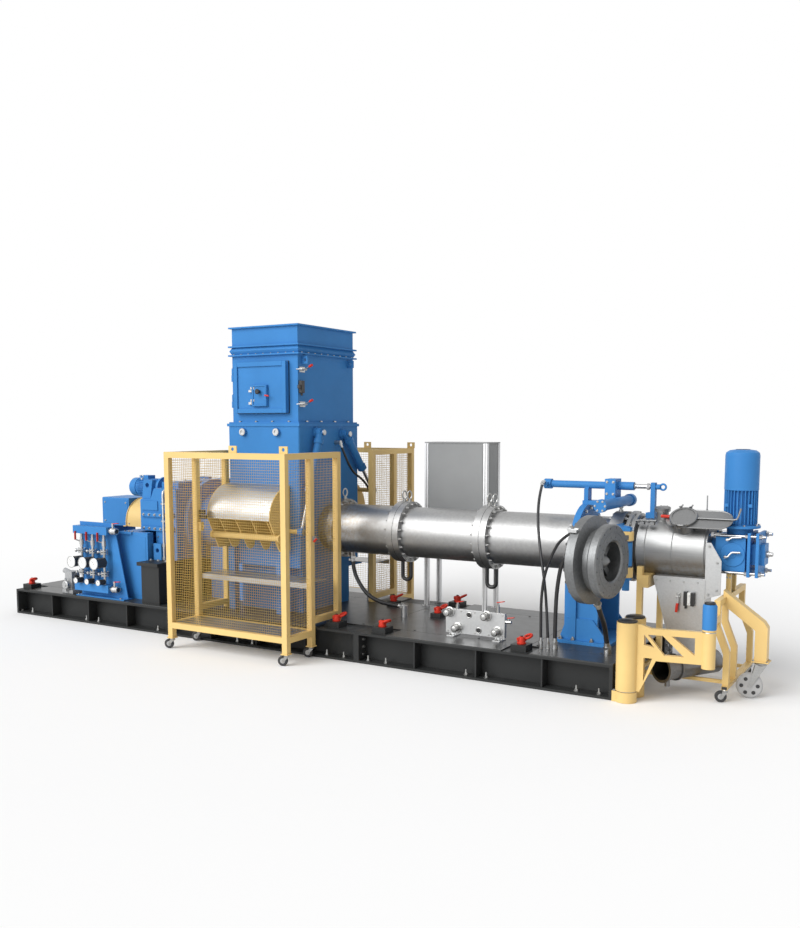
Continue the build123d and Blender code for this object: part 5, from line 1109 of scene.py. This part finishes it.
def dressCabinet():
    c = cabinetSet
    panels = bmesh.new()
    addBox(panels, (c["left"] + 0.052, c["front"] + 0.001, c["bottom"] + 0.02),
            (c["right"] - 0.052, c["front"] + 0.006, c["top"] - 0.03))
    addBox(panels, (c["right"] - 0.006, c["front"] + 0.055, c["bottom"] + 0.02),
            (c["right"] - 0.001, c["back"] - 0.055, c["top"] - 0.03))
    addBox(panels, (c["left"] + 0.001, c["front"] + 0.055, c["bottom"] + 0.02),
            (c["left"] + 0.006, c["back"] - 0.055, c["top"] - 0.03))
    makePiece("cabinetPanels", panels, "cabinetGrey", edge=0.002)
    # painted shade: dark strips on the post faces stand in for the shaded slots
    slotShade = bmesh.new()
    for x in (c["left"], c["right"] - c["post"]):
        for y in (c["front"], c["back"] - c["post"]):
            xm, ym = x + c["post"] / 2, y + c["post"] / 2
            for px, py in ((xm, y - 0.0002), (xm, y + c["post"] + 0.0002)):
                addBar(slotShade, (px, py, 0.315), (px, py, c["top"] - 0.014), 0.008, 0.0008)
            for px, py in ((x - 0.0002, ym), (x + c["post"] + 0.0002, ym)):
                addBox(slotShade, (px - 0.0004, py - 0.004, 0.315), (px + 0.0004, py + 0.004, c["top"] - 0.014))
    makePiece("postSlotShade", slotShade, "slotGrey")
    feet = bmesh.new()
    for x in (c["left"], c["right"] - c["post"]):
        for y in (c["front"], c["back"] - c["post"]):
            addBox(feet, (x - 0.02, y - 0.02, 0.312), (x + c["post"] + 0.02, y - 0.0005, 0.32))
            addBolt(feet, (x + c["post"] / 2, y - 0.011, 0.32), (0, 0, 1), 0.006)
    makePiece("postFeet", feet, "plateSteel")


dressCabinet()
print("cabinet dressed")

# valve block: plate on angle feet, fittings, levers and ports
valveSet = {"left": 2.26, "length": 0.62, "front": -0.64, "bottom": 0.342, "height": 0.235}


def dressValves():
    v = valveSet
    left, front, low = v["left"], v["front"], v["bottom"]
    right, top = left + v["length"], low + v["height"]
    plate = bmesh.new()
    addBox(plate, (left, front, low), (right, front + 0.016, top))
    addBox(plate, (left, front + 0.016, top - 0.012), (right, front + 0.04, top))
    addBox(plate, (right - 0.012, front + 0.016, low), (right, front + 0.04, top - 0.012))
    for x in (left + 0.03, right - 0.11):  # angle feet
        addBox(plate, (x, front - 0.045, 0.312), (x + 0.08, front + 0.10, 0.322))
        addBox(plate, (x, front + 0.016, 0.322), (x + 0.08, front + 0.026, low + 0.08))
    makePiece("valvePlate", plate, "plateSteel", stands=("valve_block",), edge=0.002)
    bag, levers, mouthShade = (bmesh.new() for _ in range(3))
    for x, z in ((2.305, 0.543), (2.695, 0.540), (2.388, 0.398), (2.806, 0.402)):
        addLathe(bag, (x, front, z), (0, -1, 0), [(0, 0.050), (0.008, 0.050), (0.010, 0.046)], 32)
        addRod(bag, (x, front - 0.010, z), (x, front - 0.036, z), 0.044, 6)
        addLathe(bag, (x, front - 0.036, z), (0, -1, 0),
                [(0, 0.030), (0.020, 0.030), (0.022, 0.034), (0.040, 0.034), (0.050, 0.026), (0.054, 0.010)],
                24)
    for x, z in ((2.511, 0.530), (2.612, 0.393)):
        addRing(bag, (x, front - 0.001, z), (0, -1, 0), 0.026, 0.005, 28, 8)
        # painted shade: a black disc in each port's opening
        addLathe(mouthShade, (x, front, z), (0, -1, 0), [(0, 0.024), (0.0012, 0.024), (0.0015, 0.020)], 28)
    for x in (left + 0.025, left + 0.165, left + 0.31, left + 0.455, right - 0.025):
        addBolts(bag, [x], [front], (low + 0.018, top - 0.018), (0, -1, 0), 0.0075)
    addBolts(bag, (left + 0.07, right - 0.07), [front - 0.025], [0.322], (0, 0, 1), 0.010, 0.012)
    for x, high in ((2.376, 0.040), (2.80, 0.075)):  # valves on top, one on the end
        addRod(bag, (x, front + 0.02, top), (x, front + 0.02, top + high), 0.017, 8)
        addRod(bag, (x, front + 0.02, top + high), (x, front + 0.02, top + high + 0.020), 0.011, 6)
        addBar(levers, (x - 0.008, front + 0.02, top + high + 0.022),
                (x + 0.075, front - 0.004, top + high + 0.042), 0.020, 0.008)
    addRod(bag, (right, front + 0.02, 0.50), (right + 0.055, front + 0.02, 0.50), 0.017, 8)
    addRod(bag, (right + 0.03, front + 0.02, 0.51), (right + 0.03, front + 0.02, 0.535), 0.011, 6)
    addBar(levers, (right + 0.022, front + 0.02, 0.537), (right + 0.095, front - 0.004, 0.552), 0.020, 0.008)
    makePiece("valveFittings", bag, "boltZinc", stands=("valve_block",))
    makePiece("valveLevers", levers, "signalRed", stands=("valve_block",), edge=0.002)
    makePiece("valvePortShade", mouthShade, "knobBlack", stands=("valve_block",))


dressValves()
print("valve block dressed")

# die station: screws on the nose and flange, spider in the bore, hinge collars
dieSet = {"centre": (3.812, -1.10, 1.21), "turn": 8.0, "bore": 0.165,
        "thick": 0.25, "noseScrews": 16, "flangeScrews": 20, "hinge": (4.0, -0.59),
        "noseHoles": ((0.280, 0.0075), (0.202, 0.005)), "axis": 1.21, "saddle": 0.335, "cylinderZ": 1.762}


def dressDie():
    d = dieSet
    centre = Vector(d["centre"])
    normal = Vector((math.cos(math.radians(d["turn"])), -math.sin(math.radians(d["turn"])), 0))
    side = Vector((-normal.y, normal.x, 0))
    up = Vector((0, 0, 1))
    screws = bmesh.new()
    holes = bmesh.new()
    for k in range(d["noseScrews"]):
        a = 2 * math.pi * (k + 0.5) / d["noseScrews"]
        out = side * math.cos(a) + up * math.sin(a)
        for radius, size in d["noseHoles"]:
            small = centre + normal * d["thick"] + out * radius
            # painted shade: flat black discs stand in for the dark inside the nose's holes
            addLathe(holes, small, normal, [(-0.001, size), (0.0008, size), (0.001, 0.7 * size)], 12)
    for k in range(d["flangeScrews"]):
        a = 2 * math.pi * (k + 0.5) / d["flangeScrews"]
        addBolt(screws, centre + (side * math.cos(a) + up * math.sin(a)) * 0.338, -normal, 0.0145)
    makePiece("dieScrews", screws, "boltDark")
    makePiece("dieHoleShade", holes, "knobBlack")
    rings = bmesh.new()
    for radius, along in ((0.182, 0.2508), (0.240, 0.2508)):  # turned steps on the nose
        addRing(rings, centre + normal * along, normal, radius, 0.0022, 64, 6)
    addRing(rings, centre + normal * 0.165, normal, 0.2635, 0.004, 64, 8)
    makePiece("dieSteps", rings, "dieSteel")
    spider = bmesh.new()
    for k in range(4):
        a = math.radians(45 + 90 * k)
        out = side * math.cos(a) + up * math.sin(a)
        addBar(spider, centre + normal * 0.14 + out * 0.02, centre + normal * 0.14
                + out * (d["bore"] - 0.001), 0.030, 0.055)
    addLathe(spider, centre + normal * 0.10, normal,
            [(0, 0.075), (0.03, 0.072), (0.075, 0.055), (0.105, 0.030), (0.122, 0.008)], 32)
    addRing(spider, centre + normal * 0.12, normal, 0.125, 0.012, 40, 8)
    makePiece("dieSpider", spider, "dieSteel", edge=0.002)
    clamps = bmesh.new()
    out = side * math.cos(math.radians(135)) + up * math.sin(math.radians(135))
    spot = centre + out * 0.372
    # hinged clamp on the flange's rim
    addBar(clamps, spot - normal * 0.012, spot + normal * 0.070, 0.060, 0.030)
    addRod(clamps, spot - normal * 0.02 + out * 0.02, spot + normal * 0.085 + out * 0.02, 0.011, 12)
    addBar(clamps, spot + normal * 0.03 + out * 0.012, spot + normal * 0.03 + out * 0.075, 0.022, 0.018)
    makePiece("dieClamp", clamps, "plateSteel", edge=0.003)


def dressColumn():
    d = dieSet
    x, y = d["hinge"]
    collars = bmesh.new()
    for low, high in ((1.005, 1.096), (1.326, 1.408)):
        addLathe(collars, (x, y, low), (0, 0, 1),
                [(0, 0.050), (0.004, 0.060), (high - low - 0.004, 0.060), (high - low, 0.050)], 28)
    makePiece("hingeCollars", collars, "guardYellow")
    sleeve = bmesh.new()
    addLathe(sleeve, (x, y, 1.106), (0, 0, 1), [(0, 0.046), (0.004, 0.050), (0.204, 0.050), (0.208, 0.046)],
            28)
    makePiece("hingeSleeve", sleeve, "machineBlue")
    bolts = bmesh.new()
    # column foot, saddle and block
    addBolts(bolts, (3.32, 3.44, 3.62, 3.76), (-0.36, 0.36), [0.342], (0, 0, 1), 0.018, 0.014)
    for k in range(9):
        a = math.radians(k * 22.5)
        y, z = d["saddle"] * math.cos(a), d["axis"] + d["saddle"] * math.sin(a)
        for x, way in ((3.40, -1), (3.46, 1)):
            addBolt(bolts, (x, y, z), (way, 0, 0), 0.015)
    addBolts(bolts, (3.65, 3.71), [-0.11], (1.69, 1.80), (0, -1, 0), 0.010)
    addBoltCircle(bolts, (3.77, -0.64, 1.618), (0, -1, 0), 0.045, 6, 0.008, start=0)
    addBoltCircle(bolts, (3.0, 0, d["cylinderZ"]), (-1, 0, 0), 0.036, 6, 0.007, start=0)
    makePiece("columnBolts", bolts, "boltZinc")
    rod = bmesh.new()
    z = d["cylinderZ"]
    addRod(rod, (3.876, 0, z), (4.0255, 0, z), 0.0206, 24)
    # wiper and lock nut
    addLathe(rod, (3.872, 0, z), (1, 0, 0), [(0, 0.026), (0.010, 0.030), (0.018, 0.024)], 24)
    addRod(rod, (3.995, 0, z), (4.018, 0, z), 0.030, 6)
    makePiece("closingRod", rod, "chrome")


def dressHoseEnds():
    nuts = bmesh.new()
    for facts in hoseSet.values():  # swaged nuts where the hoses start and end
        first, second = Vector(facts["route"][0]), Vector(facts["route"][1])
        last, before = Vector(facts["route"][-1]), Vector(facts["route"][-2])
        for spot, inward in ((first, second - first), (last, before - last)):
            inward.normalize()
            addRod(nuts, spot - inward * 0.026, spot - inward * 0.004, 0.80 * facts["diameter"], 6)
            addRod(nuts, spot - inward * 0.004, spot + inward * 0.03, 0.60 * facts["diameter"], 18,
                    0.56 * facts["diameter"])
    makePiece("hoseNuts", nuts, "plateSteel")


dressDie()
dressColumn()
dressHoseEnds()
print("die station dressed")

# pelletizer: seals, lids, handles, thermometer, chute catch and switch
drumSet = {"left": 3.965, "radius": 0.272, "axis": 1.21, "dock": 3.88, "lidX": 4.39,
        "lidLong": 0.30, "lidRadius": 0.112, "lidLean": 37, "thermoX": 4.535, "chuteFace": -0.2805,
        "chute": [(4.155, 0.985), (4.60, 0.985), (4.60, 0.577), (4.57, 0.30), (4.45, 0.30), (4.278, 0.54)]}


def addWingNut(bag, place, normal, size):
    place, normal = Vector(place), Vector(normal).normalized()
    side = normal.orthogonal().normalized()
    addRod(bag, place, place + normal * size, 0.35 * size, 12)
    for way in (-1, 1):
        addBar(bag, place + normal * 0.45 * size, place + normal * 1.25 * size + side * way * size,
                0.14 * size, 0.55 * size)


def dressDrum():
    d = drumSet
    seal = bmesh.new()
    addRing(seal, (d["dock"] - 0.002, 0, d["axis"]), (1, 0, 0), 0.285, 0.009, 64, 8)
    addRing(seal, (d["left"] + 0.004, 0, d["axis"]), (1, 0, 0), 0.275, 0.011, 72, 8)
    makePiece("drumSeal", seal, "knobBlack", "trolley")
    lids = bmesh.new()
    along = Vector((1, 0, 0))
    lean = Vector((0, -math.sin(math.radians(d["lidLean"])), math.cos(math.radians(d["lidLean"]))))
    across = lean.cross(along)
    centre = Vector((d["lidX"], 0, d["axis"])) + lean * 0.362
    edge = []  # long oval cover, round at both ends
    for turn, shift in ((0.5, 0), (1.5, d["lidLong"])):
        for k in range(25):
            a = math.pi * (turn + k / 24)
            edge.append(centre + along * (shift + d["lidRadius"] * math.cos(a))
                        + across * d["lidRadius"] * math.sin(a))
    addPrism(lids, edge, lean * 0.012)
    addTube(lids, [v + lean * 0.008 for v in edge] + [edge[0] + lean * 0.008], 0.007, 8)
    addLathe(lids, centre + lean * 0.010, lean,
            [(0, 0.118), (0.008, 0.122), (0.024, 0.122), (0.030, 0.116), (0.030, 0.100), (0.022, 0.098),
            (0.020, 0.02)], 44)
    addRod(lids, centre - lean * 0.10, centre, 0.088, 36)
    addTube(lids, [centre + along * 0.118 + lean * 0.022, centre + along * 0.42 + lean * 0.020, centre
            + along * 0.45 + lean * 0.028, centre + along * 0.463 + lean * 0.05 + across * 0.02, centre
            + along * 0.48 + lean * 0.10 + across * 0.06], 0.008)
    for a in (70, 110, 250, 290):  # wing nuts on the clamp ring
        out = along * math.cos(math.radians(a)) + across * math.sin(math.radians(a))
        addRod(lids, centre + out * 0.126 - lean * 0.02, centre + out * 0.126 + lean * 0.03, 0.007, 10)
        addWingNut(lids, centre + out * 0.126 + lean * 0.026, lean, 0.022)
    small = Vector((d["left"] + 0.19, 0, d["axis"]))
    tilt = Vector((0, -math.sin(math.radians(8)), math.cos(math.radians(8))))
    addLathe(lids, small + tilt * 0.362, tilt, [(0, 0.072), (0.012, 0.072), (0.016, 0.066), (0.022, 0.03)],
            32)
    for k in range(6):
        a = 2 * math.pi * k / 6
        out = along * math.cos(a) + tilt.cross(along) * math.sin(a)
        addBolt(lids, small + tilt * 0.374 + out * 0.056, tilt, 0.008)
    for x in (3.985, 4.075):  # toggle catches at the dock ring
        addBox(lids, (x, -0.235, 1.435), (x + 0.055, -0.185, 1.462))
        addRod(lids, (x - 0.03, -0.21, 1.466), (x + 0.07, -0.21, 1.472), 0.010, 10)
        addRod(lids, (x + 0.01, -0.24, 1.46), (x + 0.01, -0.18, 1.475), 0.009, 10)
    makePiece("drumLids", lids, "lidSteel", "trolley")
    bands = bmesh.new()
    for x in (4.06, 4.30, 4.585):  # weld beads and the end band
        addRing(bands, (x, 0, d["axis"]), (1, 0, 0), d["radius"], 0.004 if x < 4.5 else 0.009, 72, 6)
    addBoltCircle(bands, (d["left"] - 0.052, 0, d["axis"]), (1, 0, 0), 0.316, 12, 0.010)
    makePiece("drumBands", bands, "drumSteel", "trolley")


def dressChute():
    face, thermo = drumSet["chuteFace"], drumSet["thermoX"]
    red = bmesh.new()
    addTube(red, [(4.185, -0.198, 1.516), (4.20, -0.20, 1.517), (4.275, -0.202, 1.515),
            (4.288, -0.202, 1.513)], 0.014, 12)
    addTube(red, [(4.378, -0.306, 0.765), (4.376, -0.314, 0.745), (4.373, -0.318, 0.70),
            (4.372, -0.318, 0.690)], 0.012, 12)
    makePiece("drumHandles", red, "signalRed", "trolley")
    steel = bmesh.new()
    addRod(steel, (4.155, -0.06, 1.545), (4.19, -0.196, 1.516), 0.009, 12)
    addBox(steel, (4.362, -0.290, 0.76), (4.398, face, 0.86))  # chute catch
    addBar(steel, (4.380, -0.296, 0.85), (4.379, -0.305, 0.765), 0.020, 0.010)
    addRod(steel, (4.362, -0.296, 0.825), (4.398, -0.296, 0.825), 0.008, 12)
    # thermometer: stem, nut and collar
    for low, high, radius, sides in ((1.478, 1.70, 0.0055, 14), (1.478, 1.51, 0.014, 6),
                                     (1.53, 1.575, 0.010, 12)):
        addRod(steel, (thermo, 0, low), (thermo, 0, high), radius, sides)
    # flange screws of the chute
    addBolts(steel, (4.18, 4.30, 4.42, 4.54), [-0.28], [0.955], (0, -1, 0), 0.008)
    for x, z in ((4.63, 1.28), (4.70, 1.14), (4.70, 0.90), (4.63, 0.86)):
        addBolt(steel, (x, -0.29, z), (0, -1, 0), 0.008)
    makePiece("drumFittings", steel, "boltZinc", "trolley")
    switch = bmesh.new()
    addBox(switch, (4.432, -0.325, 0.752), (4.462, face, 0.878))
    addBox(switch, (4.492, -0.325, 0.752), (4.522, face, 0.872))
    addRod(switch, (4.447, -0.298, 0.752), (4.447, -0.298, 0.725), 0.010, 12)
    makePiece("chuteSwitch", switch, "knobBlack", "trolley", edge=0.003)
    middlePart = bmesh.new()
    addBox(middlePart, (4.463, -0.318, 0.758), (4.491, face, 0.868))
    for z in (0.780, 0.846):
        addLathe(middlePart, (4.477, -0.318, z), (0, -1, 0), [(0, 0.008), (0.005, 0.008), (0.007, 0.005)], 16)
    makePiece("chuteSwitchBody", middlePart, "dialWhite", "trolley", edge=0.002)
    edges = bmesh.new()
    corners = drumSet["chute"]
    for a, b in zip(corners[1:], corners[2:] + corners[:1]):  # folded edges of the chute
        addBar(edges, (a[0], -0.281, a[1]), (b[0], -0.281, b[1]), 0.010, 0.010)
    makePiece("chuteEdges", edges, "plateSteel", "trolley")


dressDrum()
dressChute()
print("drum dressed")

# cutter drive: finned motor under its cowl, cover, tie rods with nuts
cutterSet = {"x": 4.822, "foot": 1.43, "fins": 28}


def dressCutter():
    c = cutterSet
    fins = bmesh.new()
    foot = c["foot"]
    addLathe(fins, (c["x"], 0, foot), (0, 0, 1),
            [(0, 0.160), (0.003, 0.170), (0.022, 0.170), (0.025, 0.160), (0.030, 0.122), (0.05, 0.112),
            (0.34, 0.112)], 48)
    for k in range(c["fins"]):  # deep cooling fins under the fan cowl
        a = 2 * math.pi * k / c["fins"]
        out = Vector((math.cos(a), math.sin(a), 0))
        spot = Vector((c["x"], 0, foot + 0.187)) + out * 0.124
        turn = Matrix((out, Vector((-out.y, out.x, 0)), Vector((0, 0, 1)))).transposed().to_4x4()
        bmesh.ops.create_cube(fins, size=1, matrix=Matrix.Translation(spot) @ turn
                @ Matrix.Diagonal((0.034, 0.006, 0.30, 1)))
    addLathe(fins, (c["x"], 0, foot + 0.328), (0, 0, 1),
            [(0, 0.139), (0.004, 0.144), (0.012, 0.144), (0.30, 0.144), (0.325, 0.139), (0.345, 0.110),
            (0.352, 0.060), (0.353, 0.02)], 56)
    for k in range(4):  # lifting lugs of the motor
        a = math.radians(45 + 90 * k)
        spot = Vector((c["x"] + 0.137 * math.cos(a), 0.137 * math.sin(a), foot + 0.20))
        addBox(fins, spot - Vector((0.016, 0.016, 0.014)), spot + Vector((0.016, 0.016, 0.014)))
    addLathe(fins, (4.795, -0.14, 1.205), (0, -1, 0),
            [(0, 0.104), (0.006, 0.104), (0.009, 0.100), (0.009, 0.03), (0.016, 0.028)], 40)
    makePiece("cutterShells", fins, "machineBlue", "trolley", ("cutter_motor",), 0.0015)
    bolts = bmesh.new()
    addBoltCircle(bolts, (c["x"], 0, c["foot"] + 0.025), (0, 0, 1), 0.158, 8, 0.010)
    for y in (-0.15, 0.15):
        for z in (1.05, 1.37):
            addRod(bolts, (4.612, y, z), (5.066, y, z), 0.0130, 16)  # bright tie rods with nuts
            for x in (5.015, 4.898, 4.615):
                addRod(bolts, (x, y, z), (x + 0.022, y, z), 0.023, 6)
    addTube(bolts, [(4.735, -0.185, 1.186), (4.765, -0.188, 1.19), (4.79, -0.186, 1.222),
            (4.80, -0.184, 1.228), (4.865, -0.176, 1.230)], 0.010)
    addRod(bolts, (4.745, -0.14, 1.187), (4.745, -0.195, 1.187), 0.013, 10)
    addTube(bolts, [(4.745, -0.175, 1.335), (4.768, -0.178, 1.338), (4.795, -0.178, 1.358),
            (4.87, -0.172, 1.362)], 0.010)
    addRod(bolts, (4.755, -0.14, 1.337), (4.755, -0.185, 1.337), 0.013, 10)
    addLathe(bolts, (5.05, 0, 1.21), (1, 0, 0),
            [(0, 0.030), (0.02, 0.030), (0.022, 0.020), (0.05, 0.018), (0.055, 0.012)], 20)
    makePiece("cutterBolts", bolts, "chrome", "trolley")
    ventShade = bmesh.new()
    # painted shade: thin black rings stand in for the dark slots in the cowl's top
    for k in range(5):
        addRing(ventShade, (c["x"], 0, c["foot"] + 0.681), (0, 0, 1), 0.015 + 0.011 * k, 0.0015, 40, 6)
    makePiece("cutterVentShade", ventShade, "knobBlack", "trolley")


dressCutter()
print("cutter drive dressed")

# posts, trolley and swing arm
postSet = {"front": (4.125, -0.905), "rear": (4.125, -0.69), "outer": (4.77, -0.80), "top": 0.68,
        "outerTop": 0.86}


def postCap(name, place, radius, body):
    bag = bmesh.new()
    addLathe(bag, place, (0, 0, 1),
            [(0, radius), (0.006, radius + 0.002), (0.014, radius), (0.020, radius * 0.8),
            (0.023, radius * 0.3)], 36)
    makePiece(name, bag, "knobBlack", body)


def dressPosts():
    p = postSet
    postCap("frontPostCap", (*p["front"], p["top"]), 0.080, "swing_arm")
    postCap("rearPostCap", (*p["rear"], p["top"]), 0.080, "line")
    postCap("outerPostCap", (*p["outer"], p["outerTop"] + 0.012), 0.044, "trolley")
    sleeve = bmesh.new()
    addLathe(sleeve, (*p["outer"], 0.662), (0, 0, 1),
            [(0, 0.053), (0.003, 0.0575), (0.197, 0.0575), (0.210, 0.050)], 36)
    makePiece("outerSleeve", sleeve, "machineBlue", "trolley")
    rings = bmesh.new()
    addRing(rings, (*p["outer"], 0.642), (0, 0, 1), 0.052, 0.004, 40, 8)
    addLathe(rings, (*p["front"], 0.0935), (0, 0, 1), [(0, 0.084), (0.0035, 0.084)], 40)
    makePiece("postWashers", rings, "plateSteel", "swing_arm")
    bolts = bmesh.new()
    for y in (p["front"][1], p["rear"][1]):
        addBolts(bolts, [4.035], (y - 0.04, y + 0.04), [0.09], (0, 0, 1), 0.012)
    makePiece("postBolts", bolts, "boltZinc")
    bolts = bmesh.new()
    x, y = castorSet["big"]
    for z, way in ((0.33, 1), (0.32, -1)):
        addBolts(bolts, (x - 0.055, x + 0.055), (y - 0.052, y + 0.052), [z], (0, 0, way), 0.009)
    addBolts(bolts, (4.752, 4.778), (-0.12, 0.08), [1.0], (0, -1, 0), 0.007)
    makePiece("trolleyBolts", bolts, "boltZinc", "trolley")
    caps = bmesh.new()
    for y in (-0.33, 0.33):  # plugs in the open tube ends
        addBox(caps, (4.0215, y - 0.012, 0.113), (4.025, y + 0.012, 0.137))
    for y in (-0.5425, 0.542):
        addBox(caps, (4.828, y - 0.002, 0.113), (4.872, y + 0.0025, 0.137))
    makePiece("tubePlugs", caps, "knobBlack", "trolley")


dressPosts()
print("posts and trolley dressed")
